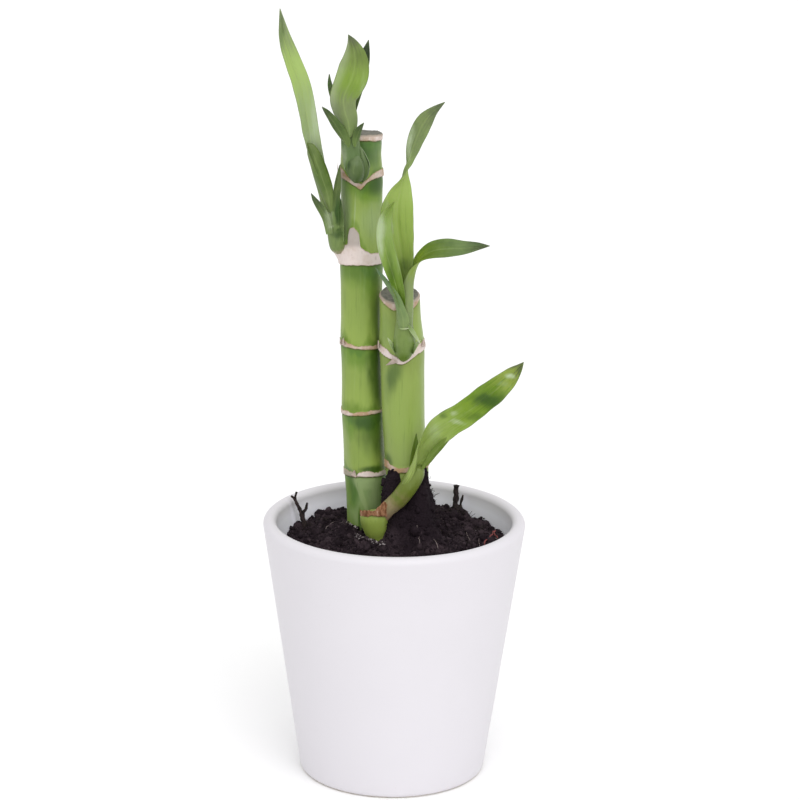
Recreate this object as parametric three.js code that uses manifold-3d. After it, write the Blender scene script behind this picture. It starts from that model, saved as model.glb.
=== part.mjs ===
// Lucky bamboo in a white pot: two cut canes and their leafy shoots, standing in dark soil.
// Millimetres, +Z up. The origin is on the ground, on the axis of the pot. The front faces -Y.

import * as THREE from "three";
import { mergeVertices } from "three/addons/utils/BufferGeometryUtils.js";
import Module from "manifold-3d";

const wasm = await Module();
wasm.setup();

// Driving dimensions

// Clearance between pieces that touch each other
const GAP = 0.3;
// Thickness of every leaf, and the narrowest that a leaf tip gets
const LEAF_THICKNESS = 0.7;
const TIP_WIDTH = 0.8;
// Segments across a leaf, and rows of points in each stretch between two stations
const LEAF_SEGMENTS = 4;
const LEAF_STEPS = 2;
const TUBE_STEPS = 2;
// How far the closing point of an end stands out: on a stem as a share of its radius
const STEM_CAP = 0.5;
const LEAF_CAP = 0.1;

const POT = {
  height: 91,
  rimRadius: 45,
  footRadius: 32,
  wall: 4.6,
  floor: 6,
  footRound: 2,
  recessRadius: 24,
  recessDepth: 1.2,
  innerRound: 4,
  sides: 56,
  curveSteps: 3,
};

// The soil's side ends below its level, so that the crumbly edge falls away from the wall
const SOIL = {
  level: 82,
  sideEnd: 74,
  edgeHeight: 78,
  sides: 40,
  ringSpacing: 2.8,
};

// Waves that make its surface lumpy, with their turns in radians a millimetre
const LUMPS = [
  { x: 0.9, y: -0.8, start: 3.3, height: 0.18 },
  { x: 0.9, y: 0.8, start: -0.7, height: 0.18 },
  { x: 1.7, y: -1.1, start: 0, height: 0.35 },
];

// Heaps and hollows of the soil: where they are, how wide, how high, and how steep their sides are
const HEAPS = [
  { x: -4, y: 1, radius: 24, height: 3, crown: 0.2 },
  { x: -5, y: -12, radius: 9, height: 1.2, crown: 0.2 },
  { x: 5.5, y: -2.5, radius: 13.5, height: 13, crown: 0.45 },
  { x: 11.8, y: 0.8, radius: 5, height: 7, crown: 0.5 },
  { x: -2, y: -2.6, radius: 6, height: 10, crown: 0.4 },
  { x: 17, y: -9, radius: 12, height: 3, crown: 0.2 },
  { x: -20, y: 26, radius: 11, height: 5, crown: 0.4 },
  { x: 18, y: 28, radius: 12, height: 3, crown: 0.3 },
  { x: -36, y: 0, radius: 18, height: -3.5, crown: 0.2 },
  { x: 4, y: -36, radius: 18, height: -1.5, crown: 0.2 },
];

// Canes: stations along the axis are [x, y, z, radius]. A ring is the raised scar of a node:
// its height, half its width, how far it stands out, and how far it dips at the front.
// The stretches between nodes are a little slimmer, by the waist.
const CANE_SIDES = 24;
const CANE_WAIST = 0.25;
const CANE_ROW_SPACING = 14;
const RING_SPREAD = 1.6;
const CUT_ROUND = 0.5;
const CUT_DOME = 0.3;
const BURIED_POINT = 1;
const CANE_TALL = {
  axis: [
    [-9.2, 9.8, 42, 6.6],
    [-9.8, 9.8, 92, 7.0],
    [-11.0, 9.8, 120, 7.2],
    [-11.7, 9.8, 150, 7.2],
    [-12.0, 9.8, 185, 7.3],
    [-12.0, 9.8, 224, 7.1],
  ],
  rings: [
    { z: 105.4, half: 1.1, raise: 0.4, dip: 0 },
    { z: 127.3, half: 0.9, raise: 0.4, dip: 0 },
    { z: 151.0, half: 0.9, raise: 0.35, dip: 0 },
    { z: 181.5, half: 2.2, raise: 0.6, dip: 0 },
    { z: 209.2, half: 0.9, raise: 0.45, dip: 3.1 },
    { z: 221.7, half: 0.7, raise: 0.25, dip: 0 },
  ],
  cut: { z: 223.4, slope: -0.09 },
};
const CANE_SHORT = {
  axis: [
    [7.0, 1.2, 42, 6.6],
    [5.2, 1.2, 92, 7.2],
    [4.2, 1.2, 110, 7.3],
    [3.0, 1.2, 126, 7.3],
    [2.2, 1.2, 148, 7.7],
    [1.3, 1.2, 164, 7.0],
    [1.0, 1.2, 171, 6.6],
  ],
  rings: [
    { z: 110.7, half: 1.1, raise: 0.35, dip: 0 },
    { z: 151.2, half: 1.3, raise: 0.4, dip: 3.3 },
    { z: 167.2, half: 0.7, raise: 0.2, dip: 2.4 },
  ],
  cut: { z: 169.8, slope: 0.22 },
};

// Stems of the four shoots, as stations [x, y, z, radius]
const STEM_SIDES = 12;
const STEM_TOP = [
  [-14.2, 1.4, 206.4, 1.2],
  [-14.6, 0.2, 209.5, 3.2],
  [-14.8, -0.5, 213.2, 3.8],
  [-15.3, -0.9, 219.0, 3.3],
  [-16.0, -1.3, 224.0, 3.2],
  [-16.3, -1.5, 228.5, 2.4],
  [-16.5, -1.6, 231.5, 1.2],
];
const STEM_LEFT = [
  [-19.2, 6.4, 177.4, 1.2],
  [-20.2, 6.0, 182.0, 2.6],
  [-20.8, 5.2, 188.5, 3.0],
  [-21.9, 4.6, 194.5, 3.0],
  [-22.8, 4.2, 199.0, 2.5],
  [-23.5, 3.9, 203.0, 1.3],
];
const STEM_SHORT = [
  [2.3, -6.4, 149.0, 1.4],
  [2.6, -8.3, 152.5, 4.0],
  [2.7, -9.0, 156.0, 4.4],
  [2.5, -9.4, 161.5, 3.5],
  [2.3, -9.5, 168.0, 3.1],
  [2.3, -9.6, 174.0, 2.6],
  [2.6, -9.7, 179.0, 1.4],
];
const STEM_BASE = [
  [-4.8, -7.6, 70.0, 2.0],
  [-4.9, -7.6, 80.0, 3.2],
  [-5.3, -7.6, 88.0, 4.6],
  [-6.0, -7.7, 94.0, 4.9],
  [-3.2, -8.8, 97.8, 4.2],
  [0.6, -10.3, 101.0, 3.8],
  [4.3, -11.4, 105.2, 3.6],
  [6.8, -11.9, 109.5, 3.0],
  [8.4, -12.1, 113.0, 1.6],
];

// Leaves, as stations along the rib: [x, y, z, width, curl, turn].
// Curl is the angle that the blade wraps, from flat at 0 to a closed tube at 360.
// Turn is the angle of its upper face round the rib: 0 faces the front, 90 the right.
const LEAF_TOP_BROAD = [
  [-16.0, -5.1, 223.0, 8.0, 125, 180],
  [-16.4, -4.7, 228.5, 7.0, 115, 180],
  [-17.8, -4.2, 233.6, 8.6, 85, 180],
  [-17.9, -4.3, 238.2, 9.6, 65, 180],
  [-15.5, -4.5, 244.0, 10.8, 50, 180],
  [-14.5, -4.4, 248.4, 10.0, 45, 180],
  [-14.5, -4.1, 252.2, 7.4, 40, 180],
  [-15.3, -3.7, 255.6, 3.8, 35, 180],
  [-16.6, -3.2, 258.4, 0.9, 30, 180],
];
const LEAF_TOP_BACK = [
  [-16.2, 1.2, 225.6, 4.6, 110, 0],
  [-16.0, 1.2, 232.0, 4.4, 80, 0],
  [-13.6, 1.3, 241.0, 4.6, 60, 0],
  [-11.4, 1.3, 249.5, 4.0, 50, -10],
  [-10.0, 1.0, 256.0, 0.9, 30, -20],
];
const LEAF_LEFT_LONG = [
  [-25.0, 6.1, 198.5, 9.6, 190, 45],
  [-26.0, 5.0, 205.5, 8.6, 190, 45],
  [-27.1, 3.6, 213.5, 8.0, 145, 42],
  [-27.9, 3.2, 220.5, 7.6, 90, 36],
  [-29.3, 3.4, 228.6, 7.2, 60, 30],
  [-32.1, 4.2, 238.5, 7.0, 50, 28],
  [-35.5, 5.6, 248.2, 6.2, 45, 25],
  [-38.1, 7.0, 256.2, 4.2, 40, 20],
  [-39.5, 8.6, 264.8, 0.9, 30, 15],
];
const LEAF_SHORT_TALL = [
  [2.5, -7.1, 174.0, 6.2, 130, 0],
  [2.3, -7.8, 179.0, 7.0, 120, 0],
  [1.6, -9.0, 185.5, 9.4, 95, 0],
  [0.6, -10.0, 191.5, 10.8, 75, 0],
  [0.0, -10.8, 198.0, 11.6, 60, 0],
  [0.2, -11.2, 203.5, 10.6, 50, 5],
  [1.4, -11.5, 209.0, 7.0, 50, 22],
  [2.3, -11.8, 214.5, 4.6, 60, 85],
  [3.5, -12.0, 219.0, 5.0, 45, 145],
  [5.3, -12.2, 224.0, 5.8, 40, 172],
  [7.6, -12.2, 228.8, 5.8, 35, 180],
  [11.0, -12.2, 233.8, 3.8, 30, 180],
  [15.2, -12.0, 238.0, 0.9, 25, 180],
];
const LEAF_SHORT_FRONT = [
  [-0.7, -11.0, 171.0, 6.6, 120, 115],
  [-1.6, -12.2, 177.0, 6.2, 105, 85],
  [-2.8, -13.3, 182.0, 6.4, 80, 50],
  [-4.0, -14.2, 187.5, 6.4, 60, 25],
  [-4.4, -14.6, 192.6, 6.0, 50, 15],
  [-4.2, -14.4, 197.5, 5.4, 45, 10],
  [-2.8, -14.0, 201.8, 3.6, 40, 5],
  [-1.0, -13.6, 204.8, 0.9, 30, 0],
];
const LEAF_SHORT_ARCHING = [
  [5.7, -9.7, 168.0, 8.2, 150, -90],
  [6.0, -9.9, 175.0, 7.0, 130, -90],
  [6.4, -10.1, 181.5, 4.8, 80, -80],
  [8.6, -10.4, 185.5, 5.6, 55, -60],
  [12.2, -10.8, 187.6, 7.0, 45, -45],
  [16.8, -11.2, 188.4, 7.4, 42, -42],
  [22.0, -11.6, 188.7, 5.6, 40, -42],
  [26.9, -11.8, 189.4, 3.2, 35, -42],
  [30.8, -12.0, 189.8, 0.9, 30, -42],
];
const LEAF_SHORT_NARROW = [
  [3.6, -13.4, 161.0, 4.6, 80, 180],
  [2.4, -13.9, 166.5, 4.0, 70, 170],
  [0.4, -14.5, 171.0, 3.6, 60, 160],
  [-1.9, -15.1, 174.9, 3.2, 55, 155],
  [-4.4, -15.6, 178.9, 2.8, 50, 150],
  [-6.8, -15.9, 182.7, 0.9, 40, 150],
];
const LEAF_BASE = [
  [9.0, -10.4, 107.6, 7.0, 140, -45],
  [10.2, -11.2, 113.5, 7.0, 105, -40],
  [11.9, -12.3, 118.5, 8.0, 80, -35],
  [13.8, -13.0, 123.2, 9.4, 60, -30],
  [17.2, -13.4, 127.2, 9.6, 50, -25],
  [21.5, -13.9, 130.9, 9.0, 45, -20],
  [26.5, -14.4, 134.8, 9.0, 45, -20],
  [32.0, -15.2, 139.6, 8.8, 45, -20],
  [36.3, -16.0, 143.9, 7.2, 45, -18],
  [39.6, -16.6, 147.3, 5.0, 40, -15],
  [42.6, -17.2, 151.4, 0.9, 30, -10],
];

// Small young leaves and bracts, which are one piece with the stem that they grow from
const BUDS_TOP = [
  [
    [-16.6, -0.6, 224.5, 3.4, 80, 0],
    [-19.0, -0.4, 230.5, 2.8, 60, 0],
    [-21.3, -0.2, 237.0, 2.6, 50, 0],
    [-22.6, 0.0, 241.0, 1.7, 40, 0],
    [-22.9, 0.3, 244.6, 0.8, 30, 0],
  ],
  [
    [-16.8, -3.4, 217.5, 4.4, 100, 150],
    [-18.6, -4.6, 223.6, 4.6, 80, 155],
    [-20.8, -5.4, 229.2, 3.4, 60, 160],
    [-23.4, -5.6, 232.8, 2.1, 45, 165],
    [-25.1, -5.8, 234.8, 0.8, 30, 165],
  ],
  [
    [-14.6, -3.2, 217.0, 3.2, 90, 200],
    [-13.8, -4.8, 222.6, 2.9, 70, 200],
    [-12.6, -5.6, 226.4, 2.4, 55, 200],
    [-11.2, -5.8, 229.4, 0.8, 30, 200],
  ],
];
const BUDS_LEFT = [
  [
    [-21.6, 3.8, 192.0, 3.0, 90, 20],
    [-20.5, 2.9, 198.0, 2.6, 80, 15],
    [-20.0, 2.4, 204.0, 2.3, 60, 10],
    [-19.7, 2.2, 208.5, 1.9, 50, 10],
    [-19.5, 2.2, 213.0, 0.8, 40, 10],
  ],
  [
    [-22.0, 3.0, 191.0, 3.2, 80, -20],
    [-24.6, 1.8, 196.5, 3.0, 70, -20],
    [-26.9, 1.0, 200.8, 2.2, 55, -20],
    [-28.8, 0.6, 204.2, 0.8, 40, -20],
  ],
];
const BUDS_BASE = [
  [
    [6.0, -11.4, 107.0, 2.8, 60, 0],
    [6.8, -9.9, 113.0, 2.6, 60, 0],
    [7.2, -9.6, 118.0, 2.2, 50, 0],
    [7.2, -9.5, 123.8, 0.8, 40, 0],
  ],
];

// Bits of twig that stand up out of the soil, as branches of stations [x, y, z, radius]
const TWIG_SIDES = 6;
const TWIG_LEFT = [
  [
    [-31.2, 17.0, 72.0, 1.0],
    [-31.6, 17.0, 82.2, 0.9],
    [-32.2, 17.0, 85.2, 0.9],
    [-33.2, 17.0, 88.1, 0.7],
    [-34.5, 17.1, 91.3, 0.5],
    [-34.2, 17.3, 94.0, 0.35],
  ],
  [
    [-31.6, 17.0, 82.0, 0.6],
    [-32.0, 17.0, 86.0, 0.6],
    [-31.0, 17.0, 87.8, 0.5],
    [-30.4, 17.1, 90.1, 0.35],
  ],
  [
    [-33.8, 17.0, 89.6, 0.5],
    [-35.0, 17.0, 91.6, 0.4],
    [-36.0, 17.0, 92.6, 0.35],
  ],
];
const TWIG_RIGHT = [
  [
    [22.6, 28.0, 74.0, 1.4],
    [22.4, 28.4, 83.6, 1.2],
    [21.6, 28.6, 86.0, 1.1],
    [21.6, 28.8, 90.4, 0.8],
    [21.8, 29.0, 93.2, 1.0],
  ],
  [
    [22.8, 28.2, 80.0, 0.8],
    [23.3, 28.4, 86.0, 0.5],
    [24.1, 28.6, 89.8, 0.35],
  ],
];

// Colours, with how rough each surface is
const MATERIALS = {
  glaze: { color: 0xe9e7ea, roughness: 0.35 },
  soil: { color: 0x1d1718, roughness: 0.95 },
  cane: { color: 0x6d9440, roughness: 0.45 },
  stem: { color: 0x6e9649, roughness: 0.5 },
  leaf: { color: 0x6fa03c, roughness: 0.45 },
  twig: { color: 0x2b211e, roughness: 0.9 },
};

// Smooth values through a list of stations, by a uniform Catmull-Rom spline
function smoothed(stations, steps) {
  const last = stations.length - 1;
  const rows = [];
  for (let i = 0; i < last; i++) {
    const [a, b, c, d] = [i - 1, i, i + 1, i + 2].map(
      (k) => stations[THREE.MathUtils.clamp(k, 0, last)],
    );
    for (let step = 0; step < steps; step++) {
      const t = step / steps;
      rows.push(b.map((_, n) => splineValue(a[n], b[n], c[n], d[n], t)));
    }
  }
  rows.push(stations[last]);
  return rows;
}

function splineValue(a, b, c, d, t) {
  const slope = c - a;
  const bend = 2 * a - 5 * b + 4 * c - d;
  const turn = 3 * (b - c) + d - a;
  return b + 0.5 * t * (slope + t * (bend + t * turn));
}

const pointOf = (row) => new THREE.Vector3(row[0], row[1], row[2]);

// The direction of a line of points at one of them
function tangentAt(points, i) {
  const before = points[Math.max(i - 1, 0)];
  const after = points[Math.min(i + 1, points.length - 1)];
  return after.clone().sub(before).normalize();
}

// A closed surface of rings of points, with one point that closes each end.
// Rings run anticlockwise as seen from the end. A ring side that flipped() names has its
// quads split along the other diagonal.
function ringedGeometry(start, rings, end, flipped = () => false) {
  const sides = rings[0].length;
  const top = rings.length - 1;
  const index = [];
  const at = (ring, k) => 1 + ring * sides + (k % sides);
  for (let k = 0; k < sides; k++) {
    index.push(0, at(0, k + 1), at(0, k));
    for (let ring = 0; ring < top; ring++) {
      const [p, q] = [at(ring, k), at(ring, k + 1)];
      const [r, s] = [at(ring + 1, k + 1), at(ring + 1, k)];
      index.push(...(flipped(k) ? [p, q, s, q, r, s] : [p, q, r, p, r, s]));
    }
    index.push(at(top, k), at(top, k + 1), 1 + rings.length * sides);
  }
  const positions = [start, ...rings.flat(), end].flatMap((p) => p.toArray());
  return new THREE.BufferGeometry()
    .setAttribute("position", new THREE.Float32BufferAttribute(positions, 3))
    .setIndex(index);
}

// Solids for joining and cutting
function solidOf(geometry) {
  const merged = mergeVertices(geometry, 1e-4);
  return new wasm.Manifold(
    new wasm.Mesh({
      numProp: 3,
      vertProperties: new Float32Array(merged.attributes.position.array),
      triVerts: new Uint32Array(merged.index.array),
    }),
  );
}

function geometryOf(solid) {
  const { vertProperties, triVerts } = solid.getMesh();
  return new THREE.BufferGeometry()
    .setAttribute("position", new THREE.BufferAttribute(vertProperties, 3))
    .setIndex(new THREE.BufferAttribute(triVerts, 1));
}

const joined = (solids) => solids.reduce((sum, solid) => sum.add(solid));

// What is left of a solid when others are cut out of it, without loose scraps
function cutBy(solid, others) {
  const left = others.reduce((rest, other) => rest.subtract(other), solid);
  const bodies = left.decompose();
  return bodies.reduce((most, body) => (body.volume() > most.volume() ? body : most));
}

// Pot: a conical wall with a rounded lip, a thick floor and a foot ring round a shallow recess
const lipCentre = POT.height - POT.wall / 2;
const potOuterRadius = (z) =>
  POT.footRadius + ((POT.rimRadius - POT.footRadius) * z) / lipCentre;
const potInnerRadius = (z) => potOuterRadius(z) - POT.wall;

function potGeometry() {
  const profile = new THREE.Path();
  const innerFoot = potInnerRadius(POT.floor + POT.innerRound) - POT.innerRound;
  profile.moveTo(0, POT.recessDepth);
  profile.lineTo(POT.recessRadius, POT.recessDepth);
  profile.lineTo(POT.recessRadius + POT.recessDepth, 0);
  profile.lineTo(POT.footRadius - POT.footRound, 0);
  profile.quadraticCurveTo(POT.footRadius, 0, potOuterRadius(POT.footRound), POT.footRound);
  profile.lineTo(potOuterRadius(POT.height / 2), POT.height / 2);
  profile.lineTo(POT.rimRadius, lipCentre);
  profile.absarc(POT.rimRadius - POT.wall / 2, lipCentre, POT.wall / 2, 0, Math.PI, false);
  profile.lineTo(innerFoot + POT.innerRound, POT.floor + POT.innerRound);
  profile.quadraticCurveTo(innerFoot + POT.innerRound, POT.floor, innerFoot, POT.floor);
  profile.lineTo(0, POT.floor);
  return new THREE.LatheGeometry(profile.getPoints(POT.curveSteps), POT.sides).rotateX(Math.PI / 2);
}

// Soil: it fills the pot up to a lumpy surface
function soilHeight(x, y) {
  let z = SOIL.level;
  for (const heap of HEAPS) {
    const away = Math.hypot(x - heap.x, y - heap.y) / heap.radius;
    z += heap.height * (1 - THREE.MathUtils.smoothstep(away, heap.crown, 1));
  }
  for (const lump of LUMPS) z += lump.height * Math.sin(lump.x * x + lump.y * y + lump.start);
  return z;
}

function soilRing(radius, height) {
  const ring = [];
  for (let k = 0; k < SOIL.sides; k++) {
    const angle = (2 * Math.PI * k) / SOIL.sides;
    const x = radius * Math.cos(angle);
    const y = radius * Math.sin(angle);
    ring.push(new THREE.Vector3(x, y, height(x, y)));
  }
  return ring;
}

function soilSolid(holes) {
  const floor = POT.floor + GAP;
  const wallStart = POT.floor + POT.innerRound;
  const inset = (z) => potInnerRadius(z) - 2 * GAP;
  const rim = inset(SOIL.edgeHeight);
  const rings = [
    soilRing(inset(wallStart) - POT.innerRound, () => floor),
    soilRing(inset(wallStart), () => wallStart),
    soilRing(inset(SOIL.sideEnd), () => SOIL.sideEnd),
  ];
  const count = Math.round(rim / SOIL.ringSpacing);
  for (let k = count; k > 0; k--) rings.push(soilRing((rim * k) / count, soilHeight));
  const start = new THREE.Vector3(0, 0, floor);
  const end = new THREE.Vector3(0, 0, soilHeight(0, 0));
  return cutBy(solidOf(ringedGeometry(start, rings, end)), holes);
}

// Canes: rings of points that follow the dip of each node at the front
function frontNotch(angle) {
  const fromFront = Math.acos(-Math.sin(angle));
  return Math.max(0, 1 - fromFront / (Math.PI / 2));
}

// Station values of a cane's axis at a height
function axisAt(axis, z) {
  let i = axis.findIndex((row) => row[2] > z) - 1;
  if (i < 0) i = z < axis[0][2] ? 0 : axis.length - 2;
  const share = (z - axis[i][2]) / (axis[i + 1][2] - axis[i][2]);
  return axis[i].map((value, n) => THREE.MathUtils.lerp(value, axis[i + 1][n], share));
}

// Rows of a cane from the bottom up: height, how far it stands out, and the dip at the front
function caneRows({ axis, rings, cut }) {
  const rows = [{ z: axis[0][2], out: 0, dip: 0 }];
  for (const { z, half, raise, dip } of rings) {
    const from = rows[rows.length - 1].z;
    const to = z - RING_SPREAD * half - dip;
    const count = Math.max(1, Math.round((to - from) / CANE_ROW_SPACING));
    for (let k = 1; k <= count; k++) {
      const share = k / (count + 1);
      rows.push({ z: THREE.MathUtils.lerp(from, to, share), out: -CANE_WAIST, dip: 0 });
    }
    rows.push({ z: z - RING_SPREAD * half, out: 0, dip });
    rows.push({ z: z - half, out: raise, dip });
    rows.push({ z: z + half, out: raise, dip });
    rows.push({ z: z + RING_SPREAD * half, out: 0, dip });
  }
  rows.push({ z: cut.z - CUT_ROUND, out: 0, dip: 0, slope: cut.slope });
  rows.push({ z: cut.z, out: -CUT_ROUND, dip: 0, slope: cut.slope });
  return rows;
}

function caneSolid(cane, grow) {
  const rings = caneRows(cane).map(({ z, out, dip, slope = 0 }) => {
    const [x, y, , radius] = axisAt(cane.axis, z);
    const ring = [];
    for (let k = 0; k < CANE_SIDES; k++) {
      const angle = (2 * Math.PI * (k + 0.5)) / CANE_SIDES;
      const dx = (radius + out + grow) * Math.cos(angle);
      const dy = (radius + out + grow) * Math.sin(angle);
      ring.push(new THREE.Vector3(x + dx, y + dy, z - dip * frontNotch(angle) + slope * dy));
    }
    return ring;
  });
  const [x0, y0, z0] = cane.axis[0];
  const [x1, y1] = axisAt(cane.axis, cane.cut.z);
  const start = new THREE.Vector3(x0, y0, z0 - BURIED_POINT - grow);
  const end = new THREE.Vector3(x1, y1, cane.cut.z + CUT_DOME + grow);
  return solidOf(ringedGeometry(start, rings, end));
}

// Round stem or twig through stations [x, y, z, radius]
function tubeSolid(stations, sides, grow) {
  const rows = smoothed(stations, TUBE_STEPS);
  const points = rows.map(pointOf);
  const depth = new THREE.Vector3(0, 1, 0);
  const rings = points.map((point, i) => {
    const along = tangentAt(points, i);
    const across = new THREE.Vector3().crossVectors(depth, along).normalize();
    const back = new THREE.Vector3().crossVectors(along, across);
    const radius = rows[i][3] + grow;
    const ring = [];
    for (let k = 0; k < sides; k++) {
      const angle = (2 * Math.PI * k) / sides;
      const p = point.clone().addScaledVector(across, radius * Math.cos(angle));
      ring.push(p.addScaledVector(back, radius * Math.sin(angle)));
    }
    return ring;
  });
  const last = points.length - 1;
  const cap = (i, sign) =>
    points[i].clone().addScaledVector(tangentAt(points, i), sign * (STEM_CAP * rows[i][3] + grow));
  return solidOf(ringedGeometry(cap(0, -1), rings, cap(last, 1)));
}

// Leaf blade through stations [x, y, z, width, curl, turn]: an arched strip of even thickness
function leafSolid(stations, grow) {
  const rows = smoothed(stations, LEAF_STEPS);
  const points = rows.map(pointOf);
  const half = LEAF_THICKNESS / 2 + grow;
  const rings = points.map((point, i) => {
    const width = Math.max(rows[i][3], TIP_WIDTH) + 2 * grow;
    const frame = leafFrame(tangentAt(points, i), rows[i][5]);
    return leafSection(point, frame, width, rows[i][4], half);
  });
  const last = points.length - 1;
  const cap = (i, sign) => {
    const middle = rings[i][LEAF_SEGMENTS / 2].clone();
    middle.lerp(rings[i][LEAF_SEGMENTS + 1 + LEAF_SEGMENTS / 2], 0.5);
    return middle.addScaledVector(tangentAt(points, i), sign * (LEAF_CAP + grow));
  };
  const underside = (k) => k > LEAF_SEGMENTS;
  return solidOf(ringedGeometry(cap(0, -1), rings, cap(last, 1), underside));
}

// Directions at a point of the rib: the upper face's normal and the way across the blade
function leafFrame(along, turn) {
  const front = new THREE.Vector3(0, -1, 0);
  const normal = front.addScaledVector(along, -front.dot(along)).normalize();
  normal.applyAxisAngle(along, THREE.MathUtils.degToRad(turn));
  return { normal, across: new THREE.Vector3().crossVectors(along, normal) };
}

function leafSection(point, { normal, across }, width, curl, half) {
  const wrap = THREE.MathUtils.degToRad(curl);
  const radius = width / wrap;
  const side = (share, lift) => {
    const angle = (share - 0.5) * wrap;
    return point
      .clone()
      .addScaledVector(across, (radius - lift) * Math.sin(angle))
      .addScaledVector(normal, radius - (radius - lift) * Math.cos(angle));
  };
  const ring = [];
  for (let k = 0; k <= LEAF_SEGMENTS; k++) ring.push(side(k / LEAF_SEGMENTS, half));
  for (let k = LEAF_SEGMENTS; k >= 0; k--) ring.push(side(k / LEAF_SEGMENTS, -half));
  return ring;
}

// Assembly

const stem = (stations, buds) => (grow) =>
  joined([tubeSolid(stations, STEM_SIDES, grow), ...buds.map((bud) => leafSolid(bud, grow))]);
const leaf = (stations) => (grow) => leafSolid(stations, grow);
const cane = (spec) => (grow) => caneSolid(spec, grow);
const twig = (branches) => (grow) =>
  joined(branches.map((branch) => tubeSolid(branch, TWIG_SIDES, grow)));

// Every piece of the plant, each cut clear of the pieces that its list names
const PIECES = {
  cane_tall: { made: cane(CANE_TALL), look: "cane", clears: [] },
  cane_short: { made: cane(CANE_SHORT), look: "cane", clears: [] },
  shoot_top: { made: stem(STEM_TOP, BUDS_TOP), look: "stem", clears: ["cane_tall"] },
  shoot_left: { made: stem(STEM_LEFT, BUDS_LEFT), look: "stem", clears: ["cane_tall"] },
  shoot_short: { made: stem(STEM_SHORT, []), look: "stem", clears: ["cane_short"] },
  shoot_base: { made: stem(STEM_BASE, BUDS_BASE), look: "stem", clears: ["cane_short"] },
  leaf_top_broad: { made: leaf(LEAF_TOP_BROAD), look: "leaf", clears: ["shoot_top"] },
  leaf_top_back: { made: leaf(LEAF_TOP_BACK), look: "leaf", clears: ["shoot_top", "cane_tall"] },
  leaf_left_long: { made: leaf(LEAF_LEFT_LONG), look: "leaf", clears: ["shoot_left", "cane_tall"] },
  leaf_short_tall: { made: leaf(LEAF_SHORT_TALL), look: "leaf", clears: ["shoot_short"] },
  leaf_short_arching: {
    made: leaf(LEAF_SHORT_ARCHING),
    look: "leaf",
    clears: ["shoot_short", "cane_short", "leaf_short_tall"],
  },
  leaf_short_front: {
    made: leaf(LEAF_SHORT_FRONT),
    look: "leaf",
    clears: ["shoot_short", "leaf_short_tall", "leaf_short_arching"],
  },
  leaf_short_narrow: {
    made: leaf(LEAF_SHORT_NARROW),
    look: "leaf",
    clears: ["shoot_short", "leaf_short_front", "leaf_short_arching"],
  },
  leaf_base: { made: leaf(LEAF_BASE), look: "leaf", clears: ["shoot_base", "cane_short"] },
  twig_left: { made: twig(TWIG_LEFT), look: "twig", clears: [] },
  twig_right: { made: twig(TWIG_RIGHT), look: "twig", clears: [] },
};
const IN_SOIL = ["cane_tall", "cane_short", "shoot_base", "twig_left", "twig_right"];

const plant = new THREE.Group();

function addPiece(name, geometry, look) {
  const { color, roughness } = MATERIALS[look];
  const material = new THREE.MeshStandardMaterial({ color, roughness, metalness: 0 });
  const mesh = new THREE.Mesh(geometry, material);
  mesh.name = name;
  plant.add(mesh);
}

addPiece("pot", potGeometry(), "glaze");
addPiece("soil", geometryOf(soilSolid(IN_SOIL.map((name) => PIECES[name].made(GAP)))), "soil");
for (const [name, { made, look, clears }] of Object.entries(PIECES)) {
  const grown = clears.map((other) => PIECES[other].made(GAP));
  addPiece(name, geometryOf(cutBy(made(0), grown)), look);
}

export default plant;
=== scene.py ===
# Lucky bamboo in a white pot: the finished surfaces of every piece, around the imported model.
# Lengths are in millimetres until a mesh is made. +Z is up and the front faces -Y.
# An angle round a cane or a stem is in degrees: -90 is the front, 0 the right, 180 the left.

import itertools
import math
import random

import bmesh
import bpy
import numpy as np
from mathutils import Euler, Matrix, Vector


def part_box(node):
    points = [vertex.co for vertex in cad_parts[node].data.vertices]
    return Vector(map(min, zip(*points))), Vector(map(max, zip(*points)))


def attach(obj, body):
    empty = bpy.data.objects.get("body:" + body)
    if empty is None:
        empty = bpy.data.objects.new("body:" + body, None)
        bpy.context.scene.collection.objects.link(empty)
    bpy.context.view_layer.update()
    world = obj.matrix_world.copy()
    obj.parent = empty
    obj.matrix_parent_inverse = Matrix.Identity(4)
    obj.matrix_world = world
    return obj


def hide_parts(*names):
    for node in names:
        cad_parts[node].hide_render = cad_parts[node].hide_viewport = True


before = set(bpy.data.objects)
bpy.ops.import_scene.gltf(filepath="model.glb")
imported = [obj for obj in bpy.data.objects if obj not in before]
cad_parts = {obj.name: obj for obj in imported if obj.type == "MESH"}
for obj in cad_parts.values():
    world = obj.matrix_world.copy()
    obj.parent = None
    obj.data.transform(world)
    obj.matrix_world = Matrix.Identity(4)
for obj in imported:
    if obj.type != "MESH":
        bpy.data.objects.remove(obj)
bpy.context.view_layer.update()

MM = 0.001
SEED = 7

# Sizes that the frame gives
_, pot_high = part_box("pot")
POT_HEIGHT = pot_high.z / MM
RIM_RADIUS = pot_high.x / MM

POT_WALL = 4.6
POT_FLOOR = 6
POT_SIDES = 224
FOOT_RADIUS = 32
FOOT_ROUND = 2
RECESS_RADIUS = 24
RECESS_DEPTH = 1.2
INNER_ROUND = 4
SOIL_LEVEL = 82
SOIL_FLOOR = 6.3
SOIL_CELLS = 200
COARSE_CRUMBS = 2300
FINE_CRUMBS = 7500
LOOSE_CRUMBS = 30
FIBRES = 420

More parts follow.
